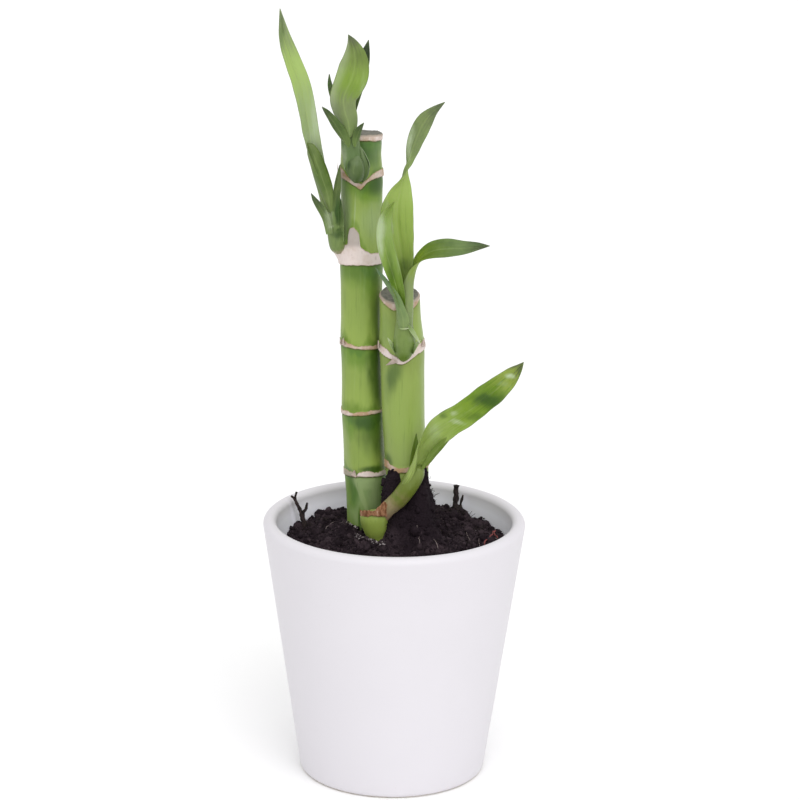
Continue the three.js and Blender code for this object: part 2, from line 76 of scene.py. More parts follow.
# Heaps and hollows of the soil: [x, y, reach, height, share of the reach that is flat on top]
HEAPS = [
    [-4, 1, 24, 3, 0.2], [-5, -12, 9, 2.4, 0.2], [-17, 4, 6, 2.5, 0.3], [5.2, -2.5, 12.6, 12, 0.45],
    [9.8, 0.2, 4.9, 7, 0.72], [-0.8, -3.6, 5.2, 12.5, 0.58], [8.2, -5.2, 5.4, 8.5, 0.45],
    [17, -9, 12, 3, 0.2], [-20, 26, 11, 0.8, 0.4], [18, 28, 12, 2, 0.3], [17, 10, 9, -1.2, 0.3],
    [-36, 0, 18, -3, 0.2], [-33, 12, 15, -1.2, 0.2], [4, -36, 18, -1.5, 0.2],
]

# Canes: stations along the axis are [x, y, z, radius]. A ring is the dry scar of a node: its
# lower and upper edges are lines of [angle, z], and raise is how far it stands out.
# A mark is a soft patch of the skin: [angle and z of its middle, how far it reaches in degrees
# and in millimetres, degrees that it leans a millimetre, how much darker (or paler, below 0) it
# is, how blue-green, how deep it is sunk]. Most marks are the skin's own tone; those noted below
# are painted shade, painted light or painted sheen.
CANE_TALL = {
    "axis": [
        [-9.2, 9.8, 42, 6.6], [-9.7, 9.8, 92, 7.1], [-10.9, 9.8, 120, 7.35], [-11.7, 9.8, 150, 7.2],
        [-12, 9.8, 185, 7.3], [-12, 9.8, 224, 7.1],
    ],
    "rings": [
        {
            "low": [[-173, 103.5], [-117, 104.1], [-109, 104.4], [-81, 104.3], [-46, 104.1], [90, 104.2]],
            "high": [
                [-165, 105.8], [-130, 105.8], [-113, 104.8], [-109, 106], [-80, 106.3], [-44, 105.8],
                [90, 105.8],
            ],
            "raise": 0.45,
            "pale": 0.95,
        },
        {
            "low": [[-160, 125.6], [-128, 125.8], [-103, 126.2], [-66, 126.6], [-27, 126.8], [90, 126.4]],
            "high": [[-160, 127.2], [-122, 127.1], [-103, 127.5], [-66, 128], [-26, 128], [90, 128]],
            "raise": 0.4,
            "pale": 0.45,
        },
        {
            "low": [[-157, 150], [-123, 150], [-100, 149.9], [-72, 149.7], [-34, 149.3], [90, 150]],
            "high": [
                [-157, 151.9], [-141, 152.3], [-124, 151.5], [-100, 151.1], [-72, 150.9], [-34, 150.6],
                [90, 151.4],
            ],
            "raise": 0.4,
            "pale": 0.5,
        },
        {
            "low": [[-180, 178.4], [-155, 178.3], [-124, 178.9], [-91, 179.2], [-39, 178.9], [90, 179]],
            "high": [
                [-180, 185], [-157, 184.6], [-138, 185.7], [-129, 186.1], [-127, 189.6], [-123, 191.6],
                [-112, 192.2], [-102, 191], [-95, 189.9], [-94, 186.4], [-91, 185.6], [-76, 184],
                [-60, 183.2], [-42, 183.1], [90, 183.4],
            ],
            "raise": 0.6,
            "pale": 0.95,
        },
        {
            "low": [
                [-168, 208.2], [-137, 207.9], [-123, 207.3], [-108, 206.3], [-92, 205.1], [-86, 205.9],
                [-80, 207], [-73, 207.8], [-64, 208.4], [-48, 208.8], [90, 208.6],
            ],
            "high": [
                [-175, 212], [-147, 211.3], [-137, 210.1], [-123, 208.9], [-108, 207.9], [-92, 206.8],
                [-80, 208.3], [-64, 209.9], [-48, 210.9], [-20, 211.2], [90, 210.4],
            ],
            "raise": 0.5,
            "pale": 0.38,
        },
        {"low": [[-90, 221.1], [0, 220.8], [90, 221]], "high": [[0, 240]], "raise": 0.2, "pale": 0.55},
    ],
    "marks": [
        # The two paler marks on the next row are partly the skin's own blue-green and partly painted light
        # against the shade of the left shoot's leaves.
        [-133, 197, 26, 12, 0, -0.6, 0.6, 0.3], [-152, 193, 18, 10, 0, -0.8, 0.5, 0],
        [-108, 198, 3, 8, 0.3, -0.9, 0, -0.15], [-45, 206, 46, 4.8, 0, 0.95, 0.3, 0],
        [-50, 197, 34, 8, 0, -0.3, 0, 0], [0, 217.5, 60, 9, 0, 0, 0, 0.6],
        [-75, 193, 46, 9, 0, -0.6, 0, 0], [-112, 217, 60, 6, 0, 0.5, 0.3, 0],
        [-55, 216, 60, 8, 0, 0.25, 0.6, 0], [-95, 176.5, 90, 5, 0, 0.4, 0.1, 0],
        [178, 184, 38, 4.6, 0, 0, 0, -2.2], [-55, 146, 50, 6, 0, 0.45, 0, 0],
        [-56, 118, 60, 12, -2.4, 0.75, 0.1, 0], [-90, 124, 50, 3, -2, 0.45, 0.5, 0],
        # The second mark on the next row, at -74, is a painted shadow just above the lowest ring.
        [-158, 115, 28, 12, -1, -0.4, 0, 0], [-74, 106.8, 46, 1.7, 0, 1.2, 0.3, 0],
        [-142, 105, 34, 2, 0, 0, 1.2, 0], [-92, 96, 80, 12, 0, -0.55, 0.35, 0],
        [-134, 98.4, 22, 6.4, -0.5, 0.7, 0, 0.3], [-104, 98.5, 8, 9, -2.6, -0.7, 0, -0.15],
        [-62, 97, 26, 8, 0, -0.35, 0.5, 0.15], [-109, 88.5, 5, 4.5, 0, 1.6, 0, 0.3],
        # The second mark on the next row and the first on the row after are painted shade on the right
        # side, where the short cane shades the tall one.
        [-128, 87.5, 34, 5, 0, -0.3, 0.2, 0], [-44, 162, 32, 17, 0, 0.7, 0, 0],
        [-42, 138, 34, 14, 0, 0.85, 0, 0], [-88, 102.2, 60, 2.6, 0, -0.6, 0.4, 0],
    ],
    "cut": {"z": 223, "slope": -0.09},
}
CANE_SHORT = {
    "axis": [
        [6.8, 1.2, 42, 6.6], [5, 1.2, 92, 7.3], [4.1, 1.2, 110, 7.4], [2.8, 1.2, 126, 7.5],
        [2.2, 1.2, 148, 7.7], [1.3, 1.2, 164, 7], [1, 1.2, 171, 6.6],
    ],
    "rings": [
        {
            "low": [[-152, 109.2], [-122, 108.5], [-80, 108.9], [0, 109.5], [90, 109.5]],
            "high": [[-151, 111.8], [-130, 110.9], [-121, 110.4], [-79, 110.7], [0, 111.2], [90, 111.4]],
            "raise": 0.4,
            "pale": 0.32,
        },
        {
            "low": [
                [-170, 150.6], [-138, 149.4], [-117, 148.6], [-103, 147.3], [-91, 147.2], [-81, 147.6],
                [-51, 150.2], [-6, 151.3], [90, 150.6],
            ],
            "high": [
                [-155, 152.8], [-128, 151.7], [-110, 150.2], [-100, 149.3], [-85, 148.8], [-75, 149.8],
                [-57, 152.8], [-36, 154.2], [-4, 154.3], [90, 152.8],
            ],
            "raise": 0.55,
            "pale": 0.8,
        },
        {
            "low": [
                [-165, 169.2], [-136, 168.3], [-111, 167], [-50, 167], [-37, 167.6], [-15, 169],
                [90, 167.2],
            ],
            "high": [[0, 200]],
            "raise": 0.2,
            "pale": 0.5,
        },
    ],
    "marks": [
        # The second mark on the next row and the first on the row after are painted sheen along the cane's
        # left and right edges.
        [-117, 142.5, 28, 9, 2.2, 0.6, 0.4, 0], [-168, 130, 30, 34, 0, -0.1, 0.2, 0],
        [-14, 133, 26, 34, 0, -0.55, 0, 0], [-120, 159, 60, 9, 0, 0.25, 0.15, 0],
        [-150, 112, 26, 4, 0, 0.8, 0, 0],
    ],
    "cut": {"z": 169.8, "slope": 0.22},
}
# The radius that the noise of the skin is made for, how far the skin draws in between rings,
# its points round a cane, how high a row is and from where on, and how round a cut's rim is
CANE_RADIUS = 7
CANE_WAIST = 0.25
CANE_SIDES = 136
CANE_ROW = 0.32
FINE_FROM = 78
CUT_ROUND = 0.5

# Stems of the four shoots: stations [x, y, z, radius]
STEM_TOP = [
    [-13.6, 1.8, 208.8, 1], [-13.9, 0.9, 211, 2.6], [-14.6, 0.2, 214.4, 3.4], [-15.4, -0.5, 219, 3.1],
    [-16, -1, 224, 3], [-16.3, -1.3, 228.5, 1.6], [-16.5, -1.4, 230.5, 0.6],
]
STEM_LEFT = [
    [-19.4, 6.2, 182.6, 1.2], [-19.9, 5.9, 184.6, 2.6], [-20.5, 5.4, 188, 2.8], [-21.6, 4.8, 193.5, 2.3],
    [-22.5, 4.4, 198.5, 1.7], [-23, 4.2, 201.5, 0.8],
]
STEM_SHORT = [
    [2.5, -6.4, 149, 1.2], [2.7, -8.2, 152.2, 3.2], [2.8, -9, 156, 3.75], [2.7, -9.3, 160, 3.2],
    [2.6, -9.4, 163, 2.7], [2.5, -9.5, 168, 2.5], [2.5, -9.6, 172.5, 2], [2.6, -9.7, 175, 0.8],
]
STEM_BASE = [
    [-4.8, -7.6, 70, 2], [-5.6, -7.8, 80, 2.4], [-6, -8.4, 86, 2.8], [-6.4, -8.6, 89, 3.9],
    [-6.8, -8.2, 92.2, 4.75], [-6.8, -7.7, 93.6, 4.8], [-6.8, -7.4, 94.5, 3.8], [-6.8, -7.4, 94.7, 1.2],
]
STEM_ARM = [
    [-4.2, -8.3, 93.4, 2.2], [-2.2, -8.8, 96.6, 2.7], [-0.4, -9.3, 98.6, 2.9], [1.9, -9.9, 101.1, 3.05],
    [4.85, -10.8, 105.5, 3.05], [7.3, -11.6, 109.8, 2.7], [8.4, -12, 112.4, 1.8],
]

# Leaves: stations along the rib are [x, y, z, width, curl, turn]. Curl is the angle that the
# blade wraps. Turn is the angle of its upper face round the rib: 0 faces the front, 90 the right.
LEAF_TOP_BROAD = [
    [-15.9, -4.4, 224.4, 1.2, 125, 180], [-16, -4.8, 226.4, 4.8, 120, 180],
    [-16.6, -4.6, 230, 7.4, 105, 180], [-17.8, -4.2, 233.8, 8.6, 85, 180],
    [-17.9, -4.3, 238.2, 9.6, 65, 180], [-15.5, -4.5, 244, 10.8, 50, 180],
    [-14.5, -4.4, 248.4, 10, 45, 180], [-14.5, -4.1, 252.2, 7.4, 40, 180],
    [-15.3, -3.7, 255.6, 3.8, 35, 180], [-16.6, -3.2, 258.4, 0.3, 30, 180],
]
LEAF_TOP_BACK = [
    [-16.2, 1.2, 225.6, 4.6, 110, 0], [-16, 1.2, 232, 4.4, 80, 0], [-13.6, 1.3, 241, 4.6, 60, 0],
    [-11.4, 1.3, 249.5, 4, 50, -10], [-10, 1, 256, 0.3, 30, -20],
]
LEAF_LEFT_LONG = [
    [-23.6, 6.6, 191, 8.4, 240, 62], [-24.6, 6.3, 196.6, 10.4, 240, 62], [-26.2, 5.6, 204, 10.6, 228, 62],
    [-27.8, 4.6, 210.5, 9.8, 200, 56], [-28.7, 3.8, 216, 8.6, 150, 48], [-29.6, 3.5, 223.5, 7.5, 90, 36],
    [-32.1, 4.2, 238.5, 7, 50, 28], [-35.5, 5.6, 248.2, 6.2, 45, 25], [-38.1, 7, 256.2, 4.2, 40, 20],
    [-39.5, 8.6, 264.8, 0.3, 30, 15],
]
FOLD_LEFT_LONG = [
    [-30.3, 1.6, 221.2, 0.3, 60, 180], [-29.7, 1.3, 220.5, 1.9, 70, 180],
    [-28.9, 1.1, 219.5, 3.3, 80, 180], [-28.1, 0.8, 217.6, 4.6, 90, 180],
    [-26.5, 0.6, 213.4, 5.5, 95, 180], [-24.9, 0.8, 208.7, 5.6, 95, 180],
    [-23.6, 1.1, 204.8, 4.9, 95, 180], [-22.9, 1.8, 201, 3.4, 95, 180], [-22.3, 2.6, 197, 1, 90, 180],
]
LEAF_SHORT_TALL = [
    [2.5, -7.3, 167, 5.6, 150, 0], [2.6, -7.2, 173, 6.4, 135, 0], [2.3, -7.8, 179, 7.4, 120, 0],
    [1.6, -9, 185.5, 9.4, 95, 0], [0.6, -10, 191.5, 10.8, 75, 0], [0, -10.8, 198, 11.6, 60, 0],
    [0.1, -11.2, 203.5, 10.8, 50, 5], [1.2, -11.5, 209.4, 7.2, 50, 22], [2.5, -11.8, 215, 3.5, 60, 88],
    [3.8, -12, 218.6, 3.2, 50, 150], [4.9, -12.2, 222.4, 4.8, 42, 172], [6.7, -12.2, 227.6, 6, 38, 180],
    [8.9, -12.2, 231.8, 5.6, 35, 180], [11.4, -12.2, 234.8, 3.4, 30, 180], [15.2, -12, 238, 0.3, 25, 180],
]
LEAF_SHORT_FRONT = [
    [1.9, -11.9, 167.5, 2.8, 60, 20], [0.9, -12.5, 172, 5.2, 85, 20], [-0.4, -13.2, 177, 6.4, 85, 20],
    [-1.9, -13.8, 182, 7.2, 75, 18], [-3.4, -14.3, 187.5, 7.3, 62, 15], [-4.4, -14.6, 192.6, 6.7, 50, 12],
    [-4.5, -14.4, 197.5, 6, 45, 10], [-3.1, -14, 201.8, 3.9, 40, 5], [-1, -13.6, 204.8, 0.3, 30, 0],
]
LEAF_SHORT_ARCHING = [
    [4.9, -11.2, 161.5, 6.4, 170, -130], [5.1, -11.3, 168, 7.4, 190, -130],
    [5.2, -11.2, 174, 7.6, 185, -122], [5.6, -11, 178.5, 6.8, 150, -108],
    [6.6, -10.6, 182.4, 5.8, 95, -85], [8.8, -10.5, 185.5, 5.8, 60, -60], [12.2, -10.8, 187.6, 7, 45, -45],
    [16.8, -11.2, 188.4, 7.4, 42, -42], [22, -11.6, 188.7, 5.6, 40, -42],
    [26.9, -11.8, 189.4, 3.2, 35, -42], [30.8, -12, 189.8, 0.3, 30, -42],
]
LEAF_SHORT_NARROW = [
    [2.4, -12.6, 161.4, 3.8, 130, 175], [2.4, -12.8, 163.2, 5.2, 128, 175],
    [2.2, -12.9, 165.2, 4.6, 110, 172], [1.5, -13.4, 167.8, 3.5, 85, 168], [0.1, -14, 172.1, 2.7, 70, 162],
    [-1.8, -14.7, 175.4, 2.3, 60, 157], [-3.3, -15.1, 177.7, 2, 55, 153],
    [-5.2, -15.5, 180.4, 1.5, 50, 150], [-6.9, -15.9, 182.9, 0.25, 40, 150],
]
LEAF_BASE = [
    [1.2, -10, 103.2, 1.6, 220, 60], [2.4, -10.4, 106, 5.6, 220, 60], [4.4, -10.9, 109.8, 8.4, 220, 60],
    [6.6, -11.3, 114.4, 9, 205, 52], [8.8, -11.9, 119.4, 9.6, 170, 36], [12.4, -12.6, 124.2, 10, 115, 8],
    [17, -13.3, 127.6, 9.8, 65, -16], [21.5, -13.9, 130.9, 9.2, 48, -20], [26.5, -14.4, 134.8, 9, 45, -20],
    [32, -15.2, 139.6, 8.8, 45, -20], [36.3, -16, 143.9, 7.2, 45, -18], [39.6, -16.6, 147.3, 5, 40, -15],
    [42.6, -17.2, 151.4, 0.3, 30, -10],
]
FOLD_BASE = [
    [20.6, -14.4, 125.8, 0.3, 40, 180], [17.6, -14.9, 123.5, 1.7, 50, 180],
    [15.2, -15.2, 121.2, 2.7, 60, 180], [12.9, -15, 118.4, 2.8, 60, 180],
    [10.9, -14.4, 115.2, 2.2, 60, 180], [9.2, -13.4, 112.2, 0.4, 50, 180],
]

# Small young leaves and bracts of the shoots
BUDS_TOP = [
    [
        [-16.6, -0.6, 224.5, 3.4, 80, 0], [-19, -0.4, 230.5, 2.8, 60, 0], [-21.3, -0.2, 237, 2.6, 50, 0],
        [-22.6, 0, 241, 1.7, 40, 0], [-22.9, 0.3, 244.6, 0.3, 30, 0],
    ],
    [
        [-16.4, -3.5, 220.6, 1.2, 110, 150], [-17.3, -4, 222.9, 3.6, 95, 150],
        [-18.8, -4.8, 225.8, 4.2, 80, 155], [-20.8, -5.4, 229.2, 3.4, 60, 160],
        [-23.4, -5.6, 232.8, 2.1, 45, 165], [-25.1, -5.8, 234.8, 0.3, 30, 165],
    ],
    [
        [-14.2, -4.4, 221.2, 0.8, 90, 200], [-14, -4.7, 223, 2.4, 80, 200],
        [-13.5, -5.1, 225.2, 2.8, 65, 200], [-12.6, -5.6, 227.6, 2.2, 55, 200],
        [-11.3, -5.8, 229.6, 0.3, 30, 200],
    ],
]
BUDS_LEFT = [
    [
        [-21, 3.6, 193, 3, 90, 20], [-20.9, 3.2, 199, 3, 80, 15], [-20.3, 2.8, 205, 2.6, 60, 10],
        [-19.8, 2.6, 209, 1.9, 50, 10], [-19.4, 2.6, 213.4, 0.3, 40, 10],
    ],
    [
        [-22.4, 2.4, 190, 2.8, 90, -20], [-23.6, 1.8, 195.5, 3.2, 75, -20],
        [-26, 1.2, 199.8, 2.8, 60, -20], [-27.6, 0.9, 202.2, 1.9, 55, -20],
        [-28.8, 0.6, 204.2, 0.3, 40, -20],
    ],
    [
        [-19.2, 4.2, 187, 3.4, 70, -10], [-19.5, 3.8, 193, 3.6, 60, -10], [-19.7, 3.6, 199, 3, 50, -10],
        [-19.6, 3.4, 203.4, 0.3, 40, -10],
    ],
]
BUDS_BASE = [
    [
        [6.2, -11, 108, 2.8, 60, 0], [6.4, -9.9, 113, 3, 60, 0], [6.9, -9.6, 118, 2.6, 50, 0],
        [7.2, -9.5, 123.8, 0.3, 40, 0],
    ],
]
# Bracts of the upper shoots, and the sheaths in the top one, which are [x, y, z, radius]
BRACTS_TOP = [
    [
        [-13.2, 1.2, 208.4, 1.5, 120, 0], [-13.3, 1.6, 210.4, 7.4, 150, 0],
        [-13.4, 2, 213.4, 11.9, 160, 0], [-14.2, 1.7, 217, 10.2, 150, 0], [-15.2, 0.8, 220.4, 6.6, 130, 0],
        [-15.6, 0.2, 222.6, 1, 100, 0],
    ],
]
HEARTS_TOP = [
    [
        [-13.6, -0.9, 208.6, 0.6], [-13.6, -1.7, 210, 2.1], [-13.8, -2.4, 212.2, 2.9],
        [-13.9, -2.6, 214.4, 2.8], [-13.8, -2.4, 216.4, 2], [-13.6, -2.1, 218, 0.6],
    ],
    [
        [-11.9, -0.4, 208.6, 0.5], [-11.2, -1, 210.8, 1.3], [-10.9, -1.2, 213.2, 1.5],
        [-11.3, -1.1, 215.6, 1.2], [-12, -1, 218.4, 0.7], [-12.6, -1, 220.6, 0.3],
    ],
]
BRACTS_SHORT = [
    [[-0.2, -9.6, 152.4, 2, 80, 60], [-1.6, -9.8, 155, 1.8, 70, 50], [-2.8, -10, 157.4, 0.2, 50, 40]],
    [[5.6, -10.4, 152.4, 2.6, 80, -60], [6.8, -10.8, 155, 2.2, 70, -50], [8.3, -11, 157, 0.2, 50, -40]],
    [[4, -12.5, 162.6, 0.8, 60, 0], [5.7, -12.6, 160, 1.5, 60, -20], [8.3, -11.6, 155.8, 0.2, 50, -30]],
    [[0.6, -12.8, 161.6, 0.2, 60, 0], [2.3, -13.1, 161.4, 0.7, 60, 0], [4.2, -12.8, 161.5, 0.2, 50, 0]],
]

# The torn dry sheath round the bulging shoot at the foot
TORN_RING = {
    "x": -6.4,
    "y": -7.7,
    "radius": 5.2,
    "flare": 0.15,
    "lean": 0.1,
    "tilt": 1.7,
    "low": 93.6,
    "high": 95.7,
    "flap": 3.6,
    "flap_angle": -56,
    "flap_reach": 40,
}

# Soft spots on the surfaces, as seen from the front: [x, z, reach in x, reach in z, how dark], or
# how pale where that is below 0. Most are the surface's own tone; those noted are painted shade,
# painted light, painted highlights or painted sheen.
SPOTS_TOP = [
    [-17.9, 217.6, 1.3, 6, -0.45], [-13, 210.8, 3, 2.4, 0.4], [-16.2, 214.8, 1, 2, 0.7],
    [-14, 220.5, 2, 3.5, -0.15],
]
SPOTS_LEFT = [
    # The first two spots are painted shade in the hollow between the left shoot and the cane.
    [-20.2, 189.6, 3.2, 2.2, 0.7], [-20, 196.8, 1.7, 5.5, 1.3], [-22.6, 196.3, 2, 7, -0.5],
    [-20.2, 192.4, 2.6, 0.5, -0.6],
]
SPOTS_SHORT = [[5.6, 153.2, 1.5, 2.6, 0.6], [0, 153.9, 1.5, 2.3, 0.4], [4.9, 158.6, 1.5, 3.5, -0.2]]
SPOTS_BULB = [[-2.6, 97.4, 1.5, 1.5, 0.3]]
SPOTS_BROAD = [
    [-11.7, 238.7, 2, 8.5, -0.4], [-15.3, 242, 3.2, 6, 0.25], [-13.7, 251.9, 2.2, 3.5, 0.25],
    [-15.9, 226.9, 2, 3.6, 0.2],
]
SPOTS_LONG = [
    [-27.4, 228, 2.2, 10, -0.6], [-38.9, 257, 1.6, 8, 0.5], [-24.2, 214.6, 1.2, 6, -0.3],
    [-28.6, 234, 1.6, 9, -0.2],
]
SPOTS_FOLD = [[-28.6, 218.5, 1.6, 3, 0.3], [-28.2, 214, 1, 6, 0.3], [-25.4, 211, 1.3, 6, -0.12]]
SPOTS_TALL = [
    # The first two spots are painted sheen on the left of the blade.
    [-3.4, 201.9, 3.2, 8.5, -0.35], [-3.7, 193.7, 3.2, 6.5, -0.45], [-2.1, 205.3, 0.8, 3, 0.4],
    [3.4, 182.6, 3, 4.4, 0.35], [1.5, 180.8, 2.2, 4, 0.35], [5.6, 192.8, 1.9, 9.5, 0.15],
    # The first two spots on the next row are painted sheen along the left margin of the twisted upper
    # part.
    [3.6, 222.6, 1.2, 6, -0.5], [4.6, 228.5, 1.3, 4, -0.4], [12.4, 234.7, 2.8, 2.2, 0.25],
]
SPOTS_FRONT = [
    # The first two spots are painted sheen on the upper left of the blade, the next two painted shade in
    # its groove, and the fifth painted light on its right half.
    [-5.6, 195, 2.3, 9, -0.8], [-5, 186, 1.6, 5.5, -0.3], [-2.9, 187.9, 2, 7, 0.35],
    [-1.7, 179.5, 2, 7, 0.6], [0.6, 184.5, 1.6, 7.5, -0.3], [-1.2, 193, 1.4, 7.5, -0.2],
]
SPOTS_ARCH = [
    [14.4, 186.2, 5, 1.6, 0.3], [24.2, 191.4, 5, 1.9, 0.25], [16.5, 190, 5.5, 1.5, 0.45],
    [27.6, 190.1, 3, 1.6, 0.45], [7.8, 179.3, 2.2, 4.6, 0.1], [10.6, 186.4, 2.8, 2, -0.15],
]
SPOTS_LOW = [
    # The first two spots are painted highlights.
    [19.2, 132.2, 3.4, 1.3, -0.55], [20.8, 129.6, 3.6, 1.3, -0.55], [16.4, 131.8, 2.4, 2.4, 0.7],
    [34, 138.4, 8, 3.6, 0.5], [26, 131.6, 6, 2, 0.5], [36.2, 143.4, 3.4, 1.6, -0.3],
    # The first spot on the next row is a painted glint near the tip.
    [38.5, 146.4, 2.4, 1.3, -0.9], [13.1, 126.6, 3.2, 5.2, -0.35], [28.4, 137.5, 7, 2.4, 0.3],
    [41.4, 148, 1.4, 3.4, 0.5], [31, 136.2, 7, 4.5, 0.35],
]

# Dry papery scales on the nodes, along rows [angle, z, distance from the skin, width]
SCALES_TALL = [
    [[-142, 150.6, 0.4, 1.8], [-142, 151.8, 0.5, 1.4], [-141, 153.2, 0.7, 0.3]],
    [[-158, 150.4, 0.4, 1.4], [-158, 151.8, 0.5, 1], [-159, 153, 0.8, 0.3]],
    [[-120, 104.6, 0.4, 2.2], [-118, 105.6, 0.6, 1.4], [-116, 106.8, 0.8, 0.3]],
    [[-176, 209.8, 0.5, 3], [-178, 211.4, 0.7, 2.2], [-180, 212.8, 0.9, 0.4]],
]
SCALES_SHORT = [
    [[-106, 148.6, 0.6, 2.4], [-116, 147.6, 0.8, 1.9], [-129, 146.6, 1.2, 0.3]],
    [[-160, 151.4, 0.5, 2.6], [-161, 152.8, 0.6, 2.2], [-162, 154.2, 0.8, 0.5]],
    [[-28, 152.6, 0.5, 2.6], [-26, 153.8, 0.6, 2], [-24, 155, 0.8, 0.4]],
]

# Pale fine roots that lie on the soil, as points [x, y], and reddish thicker ones
ROOTS = [
    [[7.7, -10.6], [8.1, -11.2], [8.4, -11.8], [8.5, -12.3], [8.8, -12.9]],
    [[13.5, -10.1], [14.3, -12.7], [15.2, -15.7]], [[15.2, 8.1], [15.3, 3.8], [15, -0.5]],
    [[24.9, 9.5], [25.5, 3], [26.1, -1.2]], [[29.4, -0.1], [29.3, -5.4]],
    [[33, 0.1], [34.5, 2.8], [35.5, 1.7]], [[-21, 18], [-23.4, 14.6], [-24, 11]],
    [[-12, -20], [-9, -21.4], [-6.6, -21]],
]
RED_ROOTS = [
    [[30.9, -4.3], [32.4, 1.1], [33.9, 6.5], [35.2, 9.3]], [[34.3, 8.7], [35.3, 6.6], [36.2, 3.9]],
]
# Places where more fibres stick out of the soil
TUFTS = [
    [13.5, 0.5], [12.6, -3], [13.8, 3], [-7.6, -3.4], [-2, -8], [21, 27], [24, 25], [-30, 16], [-25, 20],
    [-18, 24], [30, 14],
]
# A line of pale crumbs round the foot of the tall cane
PALE_LINE = [
    [-17, 13.9], [-15.8, 8.6], [-14.5, 4.2], [-12.3, -2.7], [-10.8, -6.2], [-8.9, -10.4], [-6.4, -12.6],
    [-3.4, -12.8],
]

# Bits of twig, as branches of stations [x, y, z, radius]
TWIG_LEFT = [
    [
        [-31.2, 17, 72, 1], [-31.6, 17, 82.2, 0.9], [-32.2, 17, 85.2, 0.9], [-33.2, 17, 88.1, 0.7],
        [-34.5, 17.1, 91.3, 0.5], [-34.2, 17.3, 94, 0.35],
    ],
    [[-31.6, 17, 82, 0.6], [-32, 17, 86, 0.6], [-31, 17, 87.8, 0.5], [-30.4, 17.1, 90.1, 0.35]],
    [[-33.8, 17, 89.6, 0.5], [-35, 17, 91.6, 0.4], [-36, 17, 92.6, 0.35]],
]
TWIG_RIGHT = [
    [
        [22.6, 28, 74, 1.4], [22.4, 28.4, 83.6, 1.2], [21.6, 28.6, 86, 1.1], [21.6, 28.8, 90.4, 0.8],
        [21.8, 29, 93.2, 1],
    ],
    [[22.8, 28.2, 80, 0.8], [23.3, 28.4, 86, 0.5], [24.1, 28.6, 89.8, 0.35]],
]


# Colours


def rgb(red, green, blue):
    """A linear colour from display values of 0 to 255."""
    shares = [value / 255 for value in (red, green, blue)]
    linear = [s / 12.92 if s <= 0.04045 else ((s + 0.055) / 1.055) ** 2.4 for s in shares]
    return (*linear, 1.0)


STUDIO_GAIN = 1.1
ROOM_SHEEN = 0.018


def shown(red, green, blue):
    """Base colour of a surface that shows as these display values in the white studio, which
    lights it a little more than fully and is mirrored in it."""
    return (*(max(share / STUDIO_GAIN - ROOM_SHEEN, 0.004) for share in rgb(red, green, blue)[:3]), 1.0)


# Smooth random values


def value_noise(points, cell, seed):
    """Random values from -1 to 1 that change smoothly over a cell's size."""
    scaled = np.asarray(points, float) / cell
    base = np.floor(scaled).astype(np.int64)
    share = scaled - base
    share = share * share * (3 - 2 * share)
    total = np.zeros(len(scaled))
    for corner in itertools.product((0, 1), repeat=3):
        lattice = base + corner
        mixed = lattice[:, 0] * 73856093 ^ lattice[:, 1] * 19349663 ^ lattice[:, 2] * 83492791
        mixed = (mixed ^ seed * 40503) * 2654435761 & 0xFFFFFFFF
        mixed = (mixed ^ mixed >> 15) * 2246822519 & 0xFFFFFFFF
        value = (mixed ^ mixed >> 13) / 0xFFFFFFFF * 2 - 1
        weight = np.prod(np.where(corner, share, 1 - share), axis=1)
        total += value * weight
    return total


def rough_noise(points, cell, seed, octaves=3):
    """Sum of ever finer value noise."""
    return sum(value_noise(points, cell / 2**n, seed + n) * 0.55**n for n in range(octaves))


def smoothstep(values, low, high):
    share = np.clip((np.asarray(values, float) - low) / (high - low), 0, 1)
    return share * share * (3 - 2 * share)


def smoothed(stations, steps):
    """Smooth rows through a list of stations, by a uniform Catmull-Rom spline."""
    rows = np.asarray(stations, float)
    last = len(rows) - 1
    out = []
    for i in range(last):
        a, b, c, d = (rows[min(max(k, 0), last)] for k in (i - 1, i, i + 1, i + 2))
        for step in range(steps):
            t = step / steps
            out.append(b + 0.5 * t * (c - a + t * (2 * a - 5 * b + 4 * c - d + t * (3 * (b - c) + d - a))))
    out.append(rows[last])
    return np.array(out)


def directions(points):
    """The unit direction of a line of points at each of them."""
    steps = np.gradient(points, axis=0)
    return steps / np.linalg.norm(steps, axis=1, keepdims=True)


# Meshes


def ring_points(angle, radius, z):
    """Points round the Z axis, at angles in radians."""
    return np.column_stack([radius * np.cos(angle), radius * np.sin(angle), z + 0 * angle])


def grid_faces(rows, columns, loop=False):
    """Quads of a grid whose columns close into a ring, and whose rows do too with loop."""
    faces = []
    for row in range(rows if loop else rows - 1):
        below, above = row * columns, (row + 1) % rows * columns
        for k in range(columns):
            after = (k + 1) % columns
            faces.append((below + k, below + after, above + after, above + k))
    return faces


def capped_faces(rows, columns):
    """Faces of a tube of rows that ends in a point at both ends; the two points come last."""
    faces = grid_faces(rows, columns)
    start, end, top = rows * columns, rows * columns + 1, (rows - 1) * columns
    for k in range(columns):
        after = (k + 1) % columns
        faces += [(start, after, k), (end, top + k, top + after)]
    return faces


